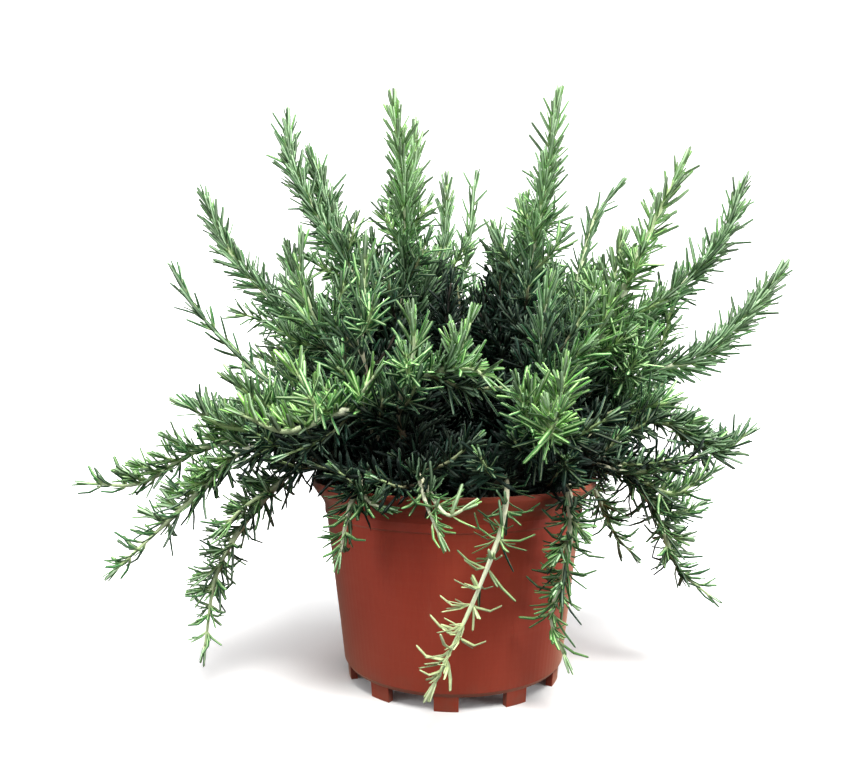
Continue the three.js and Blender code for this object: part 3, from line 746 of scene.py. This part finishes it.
def select_where(shape, test):
    """Selects the vertices that pass a test, and the edges and faces that they make up."""
    for vertex in shape.verts:
        vertex.select = bool(test(vertex.co))
    for edge in shape.edges:
        edge.select = all(v.select for v in edge.verts)
    for face in shape.faces:
        face.select = all(v.select for v in face.verts)


def select_edges(piece):
    """Selects every edge of a piece on its own, ready to be drawn out."""
    bpy.ops.mesh.select_mode(type="EDGE")
    bpy.ops.mesh.select_all(action="DESELECT")
    for edge in bmesh.from_edit_mesh(piece.data).edges:
        edge.select_set(True)


def widen(factor):
    """Scales the selection away from the axis of the pot."""
    bpy.ops.transform.resize(value=(factor, factor, 1), center_override=(0, 0, 0))


def draw_rings(profile, extrude):
    """Draws the selected ring out along a profile of radius and height."""
    for (radius, height), (next_radius, next_height) in zip(profile, profile[1:]):
        extrude(TRANSFORM_OT_translate={"value": (0, 0, next_height - height)})
        widen(next_radius / radius)


def add_mesh(name, points, faces):
    mesh = bpy.data.meshes.new(name)
    mesh.from_pydata(points, [], faces)
    piece = bpy.data.objects.new(name, mesh)
    bpy.context.scene.collection.objects.link(piece)
    return piece


def join(pieces, name):
    pick(pieces)
    bpy.ops.object.join()
    bpy.ops.object.select_all(action="DESELECT")
    return finish_name(pieces[0], name)


def apply_all(piece):
    bpy.context.view_layer.objects.active = piece
    for modifier in list(piece.modifiers):
        bpy.ops.object.modifier_apply(modifier=modifier.name)


def write_values(piece, name, values):
    attribute = piece.data.attributes.new(name, "FLOAT", "POINT")
    attribute.data.foreach_set("value", np.ascontiguousarray(values, dtype=np.float32))


# One needle, modelled once, and its copies
Template = namedtuple("Template", "corners faces uvs")
NEEDLE_COLUMNS = {150: (0.133, 0.11), 30: (-0.133, 0.11), 210: (-0.067, 0.15), -30: (0.067, 0.15),
                  90: (0, -0.28), -90: (0, 0.16)}
LEAFLET_COLUMNS = {90: (0, -0.16), -90: (0, 0.20)}
PLAIN_COLUMNS = {90: (0, -0.12)}
# Where the sides' edges lie on the UV map, by their angle from the left margin round over the top
UV_STOPS = {6: ((330, 390, 450, 510, 570, 630, 690), (0, 1 / 6, 1 / 3, 1 / 2, 2 / 3, 5 / 6, 1)),
            4: ((360, 450, 540, 630, 720), (0, 1 / 3, 2 / 3, 5 / 6, 1)),
            3: ((330, 450, 570, 690), (0, 1 / 3, 2 / 3, 1))}


def model_needle(sides, cuts, sizes, columns):
    """A blade one unit long: a rod cut across, its sides drawn into crests, a groove and margins,
    its rings tapered and its end rounded. Its UV map runs round it and along it."""
    top = cuts[-1]
    turn = math.radians(90 * (sides % 2))
    bpy.ops.mesh.primitive_cylinder_add(vertices=sides, radius=0.5, depth=top, end_fill_type="TRIFAN",
                                        location=(0, 0, top / 2), rotation=(0, 0, turn))
    rod = bpy.context.object
    bpy.ops.object.transform_apply(location=True, rotation=True)
    bpy.ops.object.mode_set(mode="EDIT")
    for cut in cuts[:-1]:
        bpy.ops.mesh.select_all(action="SELECT")
        bpy.ops.mesh.bisect(plane_co=(0, 0, cut), plane_no=(0, 0, 1))
    shape = bmesh.from_edit_mesh(rod.data)
    shape.verts.ensure_lookup_table()
    angles = np.array([math.degrees(math.atan2(v.co.y, v.co.x)) for v in shape.verts])
    middle = np.array([v.co.xy.length < 0.1 for v in shape.verts])
    for angle, (x, y) in columns.items():
        near = np.abs((angles - angle + 180) % 360 - 180) < 1
        column = set(np.flatnonzero(near & ~middle))
        for vertex in shape.verts:
            vertex.select = vertex.index in column
        bpy.ops.transform.translate(value=(x, y, 0))
    for height, size in zip([0, *cuts], sizes):
        select_where(shape, lambda place: abs(place.z - height) < 1e-3)
        widen(size)
    bpy.ops.object.mode_set(mode="OBJECT")
    corners = np.array([v.co for v in rod.data.vertices])
    corners[middle & (corners[:, 2] > 0.5), 2] = 1.0
    faces = [tuple(face.vertices) for face in rod.data.polygons]
    turned = (180 - angles) % 360
    stops = UV_STOPS[sides]
    around = np.interp(np.where(turned < stops[0][0] - 360, turned + 720, turned + 360), *stops)
    uvs = []
    for face in faces:
        rim = [around[i] for i in face if not middle[i]]
        lap = 1 if max(rim) - min(rim) > 0.5 else 0
        for i in face:
            u = around[i] + (lap if around[i] < 0.5 else 0)
            if middle[i]:
                u = (min(rim) + lap + max(rim)) / 2
            uvs.append((u, corners[i, 2]))
    bpy.data.objects.remove(rod)
    return Template(corners, faces, np.array(uvs))


def copy_needles(name, template, rows):
    """One mesh of bent copies of the template, with their colours as attributes."""
    place, heading, upper, length, width, bend, age, fresh, tint = rows
    corners = template.corners
    count, size = len(place), len(corners)
    shares = corners[:, 2]
    line = centre_line(place, heading, upper, length, bend, shares)
    angle = (bend[:, None] * shares[None, :])[..., None]
    across = np.cross(upper, heading)[:, None, :]
    lifted = np.cos(angle) * upper[:, None, :] - np.sin(angle) * heading[:, None, :]
    wide = (width[:, None] * corners[None, :, 0])[..., None]
    deep = (width[:, None] * NEEDLE_DEPTH * corners[None, :, 1])[..., None]
    points = (line + wide * across + deep * lifted).reshape(-1, 3)
    faces = [tuple(i + k * size for i in face) for k in range(count) for face in template.faces]
    piece = add_mesh(name, points, faces)
    layer = piece.data.uv_layers.new(name="UVMap")
    layer.data.foreach_set("uv", np.tile(template.uvs, (count, 1)).ravel())
    # The age attribute also carries the painted shade inside the plant
    for key, values in (("age", age), ("fresh", fresh), ("tint", tint)):
        write_values(piece, key, np.repeat(values, size))
    return piece


def model_stem(name, shoots, fineness, step):
    """A bevelled curve for each shoot, a little uneven in thickness, made a mesh."""
    curve = bpy.data.curves.new(name, "CURVE")
    curve.dimensions = "3D"
    curve.bevel_depth = 1.0
    curve.bevel_resolution = fineness
    curve.use_fill_caps = True
    for shoot in shoots:
        places = list(range(0, len(shoot.route) - 1, step)) + [len(shoot.route) - 1]
        spline = curve.splines.new("POLY")
        spline.points.add(len(places) - 1)
        for point, i in zip(spline.points, places):
            point.co = (*shoot.route[i], 1)
            swell = 1 + 0.10 * math.sin(2.4 * i)
            point.radius = shoot.radius(shoot.reach[i]) * swell
    piece = bpy.data.objects.new(name, curve)
    bpy.context.scene.collection.objects.link(piece)
    pick([piece])
    bpy.ops.object.convert(target="MESH")
    piece = bpy.context.object
    edit_all()
    bpy.ops.mesh.remove_doubles(threshold=1e-5)
    bpy.ops.object.mode_set(mode="OBJECT")
    colour_stem(piece, shoots)
    return piece


def colour_stem(piece, shoots):
    """The age of each point of a stem is that of the nearest point of a route, darkened by the painted
    shade inside the plant.
    """
    corners = np.array([v.co for v in piece.data.vertices])
    nearest = np.full(len(corners), np.inf)
    age = np.zeros(len(corners))
    for shoot in shoots:
        gaps = np.linalg.norm(corners[:, None, :] - shoot.route[None, ::3, :], axis=2)
        closest = gaps.argmin(1)
        left = shoot.length - shoot.reach[::3][closest]
        better = gaps.min(1) < nearest
        nearest[better] = gaps.min(1)[better]
        age[better] = (shoot.age * np.minimum(1, 0.05 + left / AGEING))[better]
    write_values(piece, "age", paint_inside_shade(corners, age, shoots[0].fresh))
    write_values(piece, "fresh", np.full(len(corners), shoots[0].habit.pale))
    write_values(piece, "tint", np.zeros(len(corners)))


def sort_needles(big, small):
    """Needles for each template: the open ones, the small ones and those hidden inside."""
    big, small = keep_clear(big.arrays()), keep_clear(small.arrays())
    hidden = [rows[6] > HIDDEN_AGE for rows in (big, small)]
    inside = [np.concatenate([a[hidden[0]], b[hidden[1]]]) for a, b in zip(big, small)]
    return [a[~hidden[0]] for a in big], [b[~hidden[1]] for b in small], inside


def make_spray(index, stem, templates, bark, green):
    """One plant's stems as bevelled curves and its needles as copies, joined into one piece."""
    draw = np.random.default_rng(SEED + index)
    shoots = stem_shoots(stem, draw)
    big, small = Needles(), Needles()
    for shoot in shoots:
        grow_needles(shoot, small if shoot.thick < SIDE_RADIUS else big, small, draw)
    thick = [shoot for shoot in shoots if shoot.thick >= SIDE_RADIUS]
    thin = [shoot for shoot in shoots if shoot.thick < SIDE_RADIUS]
    parts = []
    for name, group, fineness, step in (("stalk", thick, 2, 3), ("twigs", thin, 0, 4)):
        if group:
            parts.append(model_stem(name, group, fineness, step))
            parts[-1].data.materials.append(bark)
    for template, rows in zip(templates, sort_needles(big, small)):
        if len(rows[0]):
            parts.append(copy_needles("blades", template, rows))
            parts[-1].data.materials.append(green)
    spray = join(parts, "rosemary_" + stem.name)
    spray.data.polygons.foreach_set("use_smooth", np.ones(len(spray.data.polygons), dtype=bool))
    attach(spray, "root")
    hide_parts("spray_" + stem.name)


# The pot
def model_pot():
    """Rings drawn out along the profile, feet drawn down from the underside, holes through the floor."""
    radius, height = POT_PROFILE[0]
    bpy.ops.mesh.primitive_circle_add(vertices=POT_SIDES, radius=radius, location=(0, 0, 0),
                                      rotation=(0, 0, math.radians(FIRST_FOOT - 90)))
    pot = bpy.context.object
    bpy.ops.object.transform_apply(rotation=True)
    edit_all()
    bpy.ops.transform.translate(value=(0, 0, height))
    bpy.ops.mesh.edge_face_add()
    select_edges(pot)
    draw_rings(POT_PROFILE, bpy.ops.mesh.extrude_edges_move)
    bpy.ops.mesh.edge_face_add()
    bpy.ops.mesh.select_mode(type="FACE")
    bpy.ops.mesh.select_all(action="SELECT")
    bpy.ops.mesh.normals_make_consistent(inside=False)
    draw_feet(pot)
    bpy.ops.object.mode_set(mode="OBJECT")
    drill_floor(pot)
    bevel = pot.modifiers.new("edges", "BEVEL")
    bevel.width = 0.0004
    bevel.segments = 2
    bevel.limit_method = "ANGLE"
    bevel.angle_limit = math.radians(50)
    apply_all(pot)
    bpy.ops.object.shade_smooth_by_angle(angle=math.radians(35))
    return finish_name(pot, "nursery_pot")


def in_foot(place):
    """Whether a place round the pot lies over one of the feet."""
    angle = (math.degrees(math.atan2(place.y, place.x)) - FIRST_FOOT) % (360 / FOOT_COUNT)
    return min(angle, 360 / FOOT_COUNT - angle) < FOOT_HALF_ANGLE


def draw_feet(pot):
    """Draws the feet down from the ring under the pot's wall."""
    bpy.ops.mesh.select_all(action="DESELECT")
    for face in bmesh.from_edit_mesh(pot.data).faces:
        place = face.calc_center_median()
        on_ring = FOOT_INSIDE < place.xy.length < FOOT_OUTSIDE and abs(place.z - FOOT_HEIGHT) < 1e-4
        if on_ring and face.normal.z < -0.9 and in_foot(place):
            face.select_set(True)
    bpy.ops.mesh.extrude_region_move(TRANSFORM_OT_translate={"value": (0, 0, -FOOT_HEIGHT)})
    widen(0.99)


def drill_floor(pot):
    """Round drain holes, cut one after another."""
    for i in range(DRAIN_HOLES):
        turn = 2 * math.pi * i / DRAIN_HOLES
        place = (DRAIN_CIRCLE * math.cos(turn), DRAIN_CIRCLE * math.sin(turn), FLOOR_TOP)
        bpy.ops.object.select_all(action="DESELECT")
        bpy.ops.mesh.primitive_cylinder_add(vertices=24, radius=DRAIN_RADIUS, depth=0.01, location=place)
        drill = bpy.context.object
        cut = pot.modifiers.new("hole", "BOOLEAN")
        cut.operation = "DIFFERENCE"
        cut.object = drill
        apply_all(pot)
        bpy.data.objects.remove(drill)


def make_pot(plastic):
    pot = model_pot()
    pot.data.materials.append(plastic)
    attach(pot, "root")
    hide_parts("pot")


# The compost
def model_compost():
    """A plug of the pot's inner shape, its top drawn into rings and roughened."""
    radius, height = COMPOST_PROFILE[0]
    bpy.ops.mesh.primitive_circle_add(vertices=COMPOST_SIDES, radius=radius, fill_type="NGON")
    plug = bpy.context.object
    edit_all()
    bpy.ops.transform.translate(value=(0, 0, height))
    draw_rings(COMPOST_PROFILE, bpy.ops.mesh.extrude_region_move)
    edge_radius, edge_height = COMPOST_PROFILE[-1]
    for ring in range(int(edge_radius / COMPOST_STEP) - 1):
        bpy.ops.mesh.inset(thickness=COMPOST_STEP, depth=0)
        bpy.ops.transform.translate(value=(0, 0, COMPOST_EDGE_RISE if ring == 0 else 0.0))
    bpy.ops.mesh.select_all(action="SELECT")
    bpy.ops.mesh.normals_make_consistent(inside=False)
    bpy.ops.object.mode_set(mode="OBJECT")
    group = plug.vertex_groups.new(name="top")
    group.add([v.index for v in plug.data.vertices if v.co.z > edge_height - 1e-4], 1.0, "REPLACE")
    for grain, strength in ((0.016, 0.0030), (0.005, 0.0022)):
        clouds = bpy.data.textures.new("grain", "CLOUDS")
        clouds.noise_scale = grain
        rough = plug.modifiers.new("rough", "DISPLACE")
        rough.texture = clouds
        rough.texture_coords = "LOCAL"
        rough.direction = "Z"
        rough.strength = strength
        rough.mid_level = 0.62
        rough.vertex_group = "top"
    apply_all(plug)
    return plug


def model_chip(stretch, seed):
    """A crumb of bark: a rough little block with its corners off."""
    bpy.ops.object.select_all(action="DESELECT")
    bpy.ops.mesh.primitive_cube_add(size=1)
    chip = bpy.context.object
    edit_all()
    bpy.ops.mesh.bevel(offset=0.22, segments=1, affect="EDGES")
    bpy.ops.transform.vertex_random(offset=0.10, seed=seed)
    bpy.ops.transform.resize(value=stretch)
    bpy.ops.object.mode_set(mode="OBJECT")
    corners = np.array([v.co for v in chip.data.vertices])
    faces = [tuple(face.vertices) for face in chip.data.polygons]
    bpy.data.objects.remove(chip)
    return corners, faces


def scatter_chips(draw):
    """Crumbs all over the surface, each turned and sized by a seeded draw and half sunk."""
    kinds = [model_chip((1, 0.6, 0.35), 3), model_chip((1, 0.85, 0.6), 5), model_chip((1, 0.25, 0.2), 8)]
    points, faces, tints = [], [], []
    for _ in range(CHIP_COUNT):
        corners, sides = kinds[draw.integers(len(kinds))]
        size = draw.uniform(0.0012, 0.0030) if draw.random() < 0.8 else draw.uniform(0.003, 0.0065)
        distance = math.sqrt(draw.random()) * (COMPOST_PROFILE[-1][0] - 0.5 * size - 0.001)
        turn = draw.uniform(0, 2 * math.pi)
        spin = draw.uniform(0, 2 * math.pi)
        tilt = draw.normal(0, 0.35)
        place = np.array([distance * math.cos(turn), distance * math.sin(turn), COMPOST_TOP + CHIP_RISE])
        cos, sin = math.cos(spin), math.sin(spin)
        around = np.array([[cos, -sin, 0], [sin, cos, 0], [0, 0, 1]])
        cos, sin = math.cos(tilt), math.sin(tilt)
        over = np.array([[1, 0, 0], [0, cos, -sin], [0, sin, cos]])
        start = sum(len(p) for p in points)
        points.append(place + size * corners @ (around @ over).T)
        faces += [tuple(i + start for i in side) for side in sides]
        tints += [draw.uniform(-1, 1)] * len(corners)
    piece = add_mesh("chips", np.concatenate(points), faces)
    write_values(piece, "tint", np.array(tints))
    return piece


def make_compost(earth):
    plug = model_compost()
    write_values(plug, "tint", np.zeros(len(plug.data.vertices)))
    chips = scatter_chips(np.random.default_rng(SEED))
    compost = join([plug, chips], "potting_compost")
    compost.data.materials.append(earth)
    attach(compost, "root")
    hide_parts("compost")


# Finishes
def set_inputs(tree, node, inputs):
    """Sets each socket to a plain value, or links it to its source."""
    for socket, source in inputs.items():
        if isinstance(source, bpy.types.NodeSocket):
            tree.links.new(source, node.inputs[socket])
        else:
            node.inputs[socket].default_value = source


def new_finish(name, inputs):
    material = bpy.data.materials.new(name)
    material.use_nodes = True
    shader = material.node_tree.nodes["Principled BSDF"]
    set_inputs(material.node_tree, shader, inputs)
    return material, material.node_tree, shader


def add_node(tree, kind, inputs, **settings):
    node = tree.nodes.new("ShaderNode" + kind)
    for key, value in settings.items():
        setattr(node, key, value)
    set_inputs(tree, node, inputs)
    return node.outputs


def attribute(tree, name):
    return add_node(tree, "Attribute", {}, attribute_name=name)["Fac"]


def ramp(tree, source, stops):
    """A colour for each level of the source, blended between the stops."""
    node = tree.nodes.new("ShaderNodeValToRGB")
    tree.links.new(source, node.inputs["Fac"])
    elements = node.color_ramp.elements
    while len(elements) < len(stops):
        elements.new(0.5)
    for element, (level, colour) in zip(elements, stops):
        element.position = level
        element.color = (*colour, 1)
    return node.outputs["Color"]


def blend(tree, share, first, second):
    """Two colours, each a socket or a plain colour, mixed by a share."""
    colours = [c if isinstance(c, bpy.types.NodeSocket) else (*c, 1) for c in (first, second)]
    return add_node(tree, "Mix", {0: share, 6: colours[0], 7: colours[1]}, data_type="RGBA")[2]


def spread(tree, source, low, high, to_low=0.0, to_high=1.0):
    """A source's levels between low and high, spread out over another range."""
    levels = {"Value": source, "From Min": low, "From Max": high, "To Min": to_low, "To Max": to_high}
    return add_node(tree, "MapRange", levels)["Result"]


def combine(tree, operation, first, second):
    return add_node(tree, "Math", {0: first, 1: second}, operation=operation)[0]


def times(tree, first, second):
    return combine(tree, "MULTIPLY", first, second)


def noise(tree, coords, scale, detail=4.0, roughness=0.55, stretch=None):
    if stretch is not None:
        coords = add_node(tree, "Mapping", {"Vector": coords, "Scale": stretch})["Vector"]
    inputs = {"Vector": coords, "Scale": scale, "Detail": detail, "Roughness": roughness}
    return add_node(tree, "TexNoise", inputs)["Fac"]


def emboss(tree, shader, height, strength, distance):
    inputs = {"Height": height, "Strength": strength, "Distance": distance}
    set_inputs(tree, shader, {"Normal": add_node(tree, "Bump", inputs)["Normal"]})


def object_coords(tree):
    return add_node(tree, "TexCoord", {})["Object"]


def brighten(tree, colour, value):
    return add_node(tree, "HueSaturation", {"Color": colour, "Value": value})["Color"]


# Needle greens by age; the darkest stops also stand for the painted shade deep inside the plant
OLD_GREENS = [(0.0, (0.150, 0.350, 0.135)), (0.30, (0.066, 0.225, 0.082)),
              (0.68, (0.009, 0.046, 0.023)), (1.0, (0.001, 0.007, 0.005))]
FRESH_GREENS = [(0.0, (0.240, 0.560, 0.100)), (0.30, (0.105, 0.350, 0.066)),
                (0.68, (0.015, 0.080, 0.026)), (1.0, (0.002, 0.010, 0.007))]
PALE_UNDERSIDE = (0.600, 0.780, 0.540)
LEAF_MARGIN = (0.620, 0.800, 0.460)
DOWNY_LEAF = (0.770, 0.800, 0.470)
LEAF_ROOT = (0.640, 0.760, 0.400)
MIDLINE_AND_REFLECTION = (0.680, 0.880, 0.460)
FLANK_PAINTED_SHADE = (0.008, 0.034, 0.022)
# How far round a needle these lines run on its UV map, from its left margin over the top
UPPER_MIDLINE = 1 / 3
RIGHT_MARGIN = 2 / 3
UNDER_MIDLINE = 5 / 6
UNDER_FROM = 0.668


def from_line(tree, around, place):
    """How far round the needle a point lies from a line along it."""
    return combine(tree, "ABSOLUTE", combine(tree, "SUBTRACT", around, place), 0)


def needle_green():
    """Dark above, with painted shade on its flanks and a pale midline, partly a painted reflection; a pale
    line between dark margins below; brighter where young, darker with the painted shade inside the plant.
    """
    material, tree, shader = new_finish("needle_green", {"Specular IOR Level": 0.40})
    age, fresh, tint = (attribute(tree, name) for name in ("age", "fresh", "tint"))
    uv = add_node(tree, "UVMap", {}, uv_map="UVMap")["UV"]
    split = add_node(tree, "SeparateXYZ", {"Vector": uv})
    around, along = split["X"], split["Y"]
    top = blend(tree, fresh, ramp(tree, age, OLD_GREENS), ramp(tree, age, FRESH_GREENS))
    edge = combine(tree, "MINIMUM", around, from_line(tree, around, RIGHT_MARGIN))
    edge = combine(tree, "MINIMUM", edge, from_line(tree, around, 1))
    # Painted shade: the upper face darkens towards both margins, where it curves away from the light
    top = blend(tree, spread(tree, edge, 0.03, 0.14, 0.80, 0.0), top, FLANK_PAINTED_SHADE)
    # The pale midline of young needles is the midrib's paler green with a painted reflection in its groove
    midline = spread(tree, from_line(tree, around, UPPER_MIDLINE), 0.04, 0.11, 1, 0)
    line = times(tree, midline, spread(tree, age, 0.15, 0.95, 0.95, 0.08))
    above = blend(tree, line, top, MIDLINE_AND_REFLECTION)
    under = combine(tree, "GREATER_THAN", around, UNDER_FROM)
    core = spread(tree, from_line(tree, around, UNDER_MIDLINE), 0.05, 0.11, 1, 0)
    felt = times(tree, core, spread(tree, age, 0.05, 0.90, 0.80, 0.10))
    colour = blend(tree, under, above, blend(tree, felt, top, PALE_UNDERSIDE))
    downy = times(tree, spread(tree, fresh, 1, 2), spread(tree, age, 0.20, 0.46, 1, 0))
    colour = blend(tree, downy, colour, DOWNY_LEAF)
    young = times(tree, spread(tree, age, 0.1, 0.6, 0.5, 0.0), spread(tree, fresh, 0.35, 0.85))
    margin = times(tree, spread(tree, edge, 0.0, 0.05, 1, 0), young)
    colour = blend(tree, margin, colour, LEAF_MARGIN)
    root = times(tree, spread(tree, along, 0.04, 0.26, 1, 0), spread(tree, age, 0.3, 0.85, 0.8, 0.05))
    colour = blend(tree, root, colour, LEAF_ROOT)
    mottle = spread(tree, noise(tree, object_coords(tree), 260), 0.3, 0.7, -0.1, 0.14)
    value = combine(tree, "ADD", spread(tree, tint, -1, 1, 0.46, 1.60), mottle)
    roughness = spread(tree, under, 0, 1, 0.42, 0.72)
    set_inputs(tree, shader, {"Base Color": brighten(tree, colour, value), "Roughness": roughness})
    emboss(tree, shader, noise(tree, uv, 14, stretch=(6, 0.6, 1)), 0.25, 0.0002)
    return material


# Bark colours by age; the darkest stops also stand for the painted shade inside the plant
GREEN_BARK = [(0.0, (0.300, 0.480, 0.170)), (0.35, (0.380, 0.500, 0.210)), (0.65, (0.260, 0.270, 0.120)),
              (0.84, (0.070, 0.052, 0.030)), (1.0, (0.012, 0.010, 0.007))]
CREAM_BARK = [(0.0, (0.600, 0.780, 0.380)), (0.35, (0.880, 0.930, 0.680)), (0.72, (0.770, 0.750, 0.520)),
              (0.88, (0.200, 0.150, 0.090)), (1.0, (0.020, 0.015, 0.010))]
BARK_STREAK = (0.10, 0.07, 0.035)


def stem_bark():
    """Pale green at the tip, straw further back and brown at the foot, nearly black with the painted shade
    inside the plant, with fine dark streaks.
    """
    material, tree, shader = new_finish("stem_bark", {"Roughness": 0.75})
    age, fresh = attribute(tree, "age"), attribute(tree, "fresh")
    colour = blend(tree, fresh, ramp(tree, age, GREEN_BARK), ramp(tree, age, CREAM_BARK))
    streaks = noise(tree, object_coords(tree), 900, stretch=(1, 1, 0.25))
    colour = blend(tree, spread(tree, streaks, 0.50, 0.75, 0, 0.28), colour, BARK_STREAK)
    set_inputs(tree, shader, {"Base Color": colour})
    emboss(tree, shader, streaks, 0.5, 0.0004)
    return material


POT_RED = (0.470, 0.058, 0.032)
# A lighter red for the mould rings and scuffs, also used for a painted highlight round the lip
POT_MARKS_AND_HIGHLIGHT = (0.500, 0.120, 0.068)
POT_DARK = (0.410, 0.047, 0.024)
POT_PAINTED_SHADE = (0.250, 0.030, 0.013)
POT_DUST = (0.16, 0.09, 0.06)
POT_GLOSS = {"Specular IOR Level": 0.42, "Sheen Weight": 0.48, "Sheen Roughness": 0.45,
             "Sheen Tint": (1.0, 0.72, 0.50, 1)}


def pot_plastic():
    """Injection-moulded plastic: fine rings from the mould, faint scuffs, dust near the foot, with painted
    shade towards the foot and a painted highlight round the lip.
    """
    material, tree, shader = new_finish("terracotta_plastic", POT_GLOSS)
    coords = object_coords(tree)
    height = add_node(tree, "SeparateXYZ", {"Vector": coords})["Z"]
    patches = noise(tree, coords, 9, 5)
    rings = noise(tree, coords, 40, 3, stretch=(0.3, 0.3, 14))
    scuffs = noise(tree, coords, 110, 6, 0.7, stretch=(1, 1, 0.2))
    grain = noise(tree, coords, 1500, 2)
    colour = blend(tree, spread(tree, patches, 0.35, 0.68), POT_RED, POT_DARK)
    colour = blend(tree, times(tree, spread(tree, rings, 0.45, 0.75), 0.12), colour, POT_MARKS_AND_HIGHLIGHT)
    colour = blend(tree, times(tree, spread(tree, scuffs, 0.62, 0.74), 0.22), colour, POT_MARKS_AND_HIGHLIGHT)
    # Painted shade: the pot darkens towards its foot
    colour = blend(tree, spread(tree, height, 0.085, 0.0, 0.0, 0.85), colour, POT_PAINTED_SHADE)
    # Painted highlight: a lighter band round the lip
    colour = blend(tree, times(tree, spread(tree, height, 0.1262, 0.1290), 0.45), colour, POT_MARKS_AND_HIGHLIGHT)
    specks = spread(tree, noise(tree, coords, 70, 6), 0.4, 0.7)
    dust = times(tree, times(tree, spread(tree, height, 0.022, 0.004), specks), 0.5)
    colour = blend(tree, dust, colour, POT_DUST)
    dulled = spread(tree, patches, 0.3, 0.7, -0.04, 0.06)
    gloss = combine(tree, "ADD", spread(tree, scuffs, 0.3, 0.7, 0.34, 0.46), dulled)
    set_inputs(tree, shader, {"Base Color": colour, "Roughness": gloss})
    relief = combine(tree, "ADD", times(tree, rings, 0.6), times(tree, grain, 0.25))
    emboss(tree, shader, relief, 0.07, 0.0005)
    return material


def damp_earth():
    """Damp peat and bark, nearly black between the crumbs."""
    material, tree, shader = new_finish("damp_compost", {"Roughness": 0.86})
    coords = object_coords(tree)
    speck = noise(tree, coords, 420, 6, 0.7)
    colour = ramp(tree, speck, [(0.30, (0.006, 0.0045, 0.0035)), (0.55, (0.022, 0.015, 0.010)),
                                (0.75, (0.060, 0.040, 0.026))])
    value = spread(tree, attribute(tree, "tint"), -1, 1, 0.6, 2.2)
    set_inputs(tree, shader, {"Base Color": brighten(tree, colour, value)})
    emboss(tree, shader, noise(tree, coords, 900, 6, 0.7), 0.6, 0.0008)
    return material


# The stage
def make_floor():
    """A pale round floor that sweeps up into a wall all round, far from the plant."""
    bpy.ops.object.select_all(action="DESELECT")
    bpy.ops.mesh.primitive_circle_add(vertices=96, radius=FLOOR_RADIUS, fill_type="NGON")
    floor = bpy.context.object
    bpy.ops.object.mode_set(mode="EDIT")
    select_edges(floor)
    profile = [(FLOOR_RADIUS, 0.0)]
    for step in range(1, WALL_STEPS + 1):
        turn = math.radians(min(90, 7.5 * step))
        raised = WALL_CURVE * (1 - math.cos(turn)) + (WALL_HEIGHT if step == WALL_STEPS else 0)
        profile.append((FLOOR_RADIUS + WALL_CURVE * math.sin(turn), raised))
    draw_rings(profile, bpy.ops.mesh.extrude_edges_move)
    bpy.ops.mesh.select_mode(type="FACE")
    bpy.ops.object.mode_set(mode="OBJECT")
    bpy.ops.object.shade_smooth_by_angle(angle=math.radians(40))
    pale = {"Roughness": 0.9, "Base Color": (0.92, 0.92, 0.92, 1), "Emission Color": (1, 1, 1, 1)}
    material, tree, shader = new_finish("pale_floor", pale)
    away = add_node(tree, "VectorMath", {0: object_coords(tree)}, operation="LENGTH")["Value"]
    glow = spread(tree, away, *GLOW_FROM, 0.0, STAGE_GLOW)
    set_inputs(tree, shader, {"Emission Strength": glow})
    floor.data.materials.append(material)
    floor.visible_diffuse = False
    floor.visible_glossy = False
    floor.visible_shadow = False
    finish_name(floor, "floor")


def add_sun(name, place, strength, softness, colour):
    """A far soft light that shines from a place towards the plant."""
    lamp = bpy.data.lights.new(name, "SUN")
    lamp.energy = strength
    lamp.angle = math.radians(softness)
    lamp.color = colour
    light = bpy.data.objects.new(name, lamp)
    light.location = place
    light.rotation_euler = (Vector(LIGHT_TARGET) - Vector(place)).to_track_quat("-Z", "Y").to_euler()
    bpy.context.scene.collection.objects.link(light)


def make_studio():
    """A plain room: a soft dim sky and three broad lights."""
    world = bpy.data.worlds.new("studio")
    bpy.context.scene.world = world
    world.use_nodes = True
    tree = world.node_tree
    coords = add_node(tree, "TexCoord", {})["Generated"]
    upward = spread(tree, add_node(tree, "SeparateXYZ", {"Vector": coords})["Z"], -1, 1)
    levels = [(share, (level, level, level)) for share, level in SKY_LEVELS]
    sky = {"Strength": WORLD_STRENGTH, "Color": ramp(tree, upward, levels)}
    set_inputs(tree, tree.nodes["Background"], sky)
    add_sun("key", (0.4, -1.2, 2.5), 3.6, 22, (1.0, 0.99, 0.96))
    add_sun("window", (2.2, -0.8, 0.9), 2.0, 35, (0.98, 0.99, 1.0))
    add_sun("fill", (-2.2, -0.9, 1.0), 1.4, 40, (0.98, 0.99, 1.0))
    bpy.context.scene.view_settings.view_transform = "Standard"


def make_camera():
    data = bpy.data.cameras.new("camera")
    data.sensor_width = SENSOR_WIDTH
    data.lens = SENSOR_WIDTH * FOCAL_PIXELS / IMAGE_WIDTH
    data.clip_start = 0.01
    camera = bpy.data.objects.new("camera", data)
    camera.location = CAMERA_PLACE
    camera.rotation_euler = (math.radians(90 + CAMERA_PITCH), 0, 0)
    bpy.context.scene.collection.objects.link(camera)
    bpy.context.scene.camera = camera


make_camera()
make_studio()
make_floor()
make_pot(pot_plastic())
make_compost(damp_earth())
needle_templates = [
    model_needle(6, [0.13, 0.55, 0.95], [0.50, 0.92, 1.0, 0.76], NEEDLE_COLUMNS),
    model_needle(4, [0.35, 0.93], [0.50, 1.0, 0.80], LEAFLET_COLUMNS),
    model_needle(3, [0.80], [0.50, 0.95], PLAIN_COLUMNS),
]
bark, green = stem_bark(), needle_green()
for index, stem in enumerate(STEMS):
    make_spray(index, stem, needle_templates, bark, green)
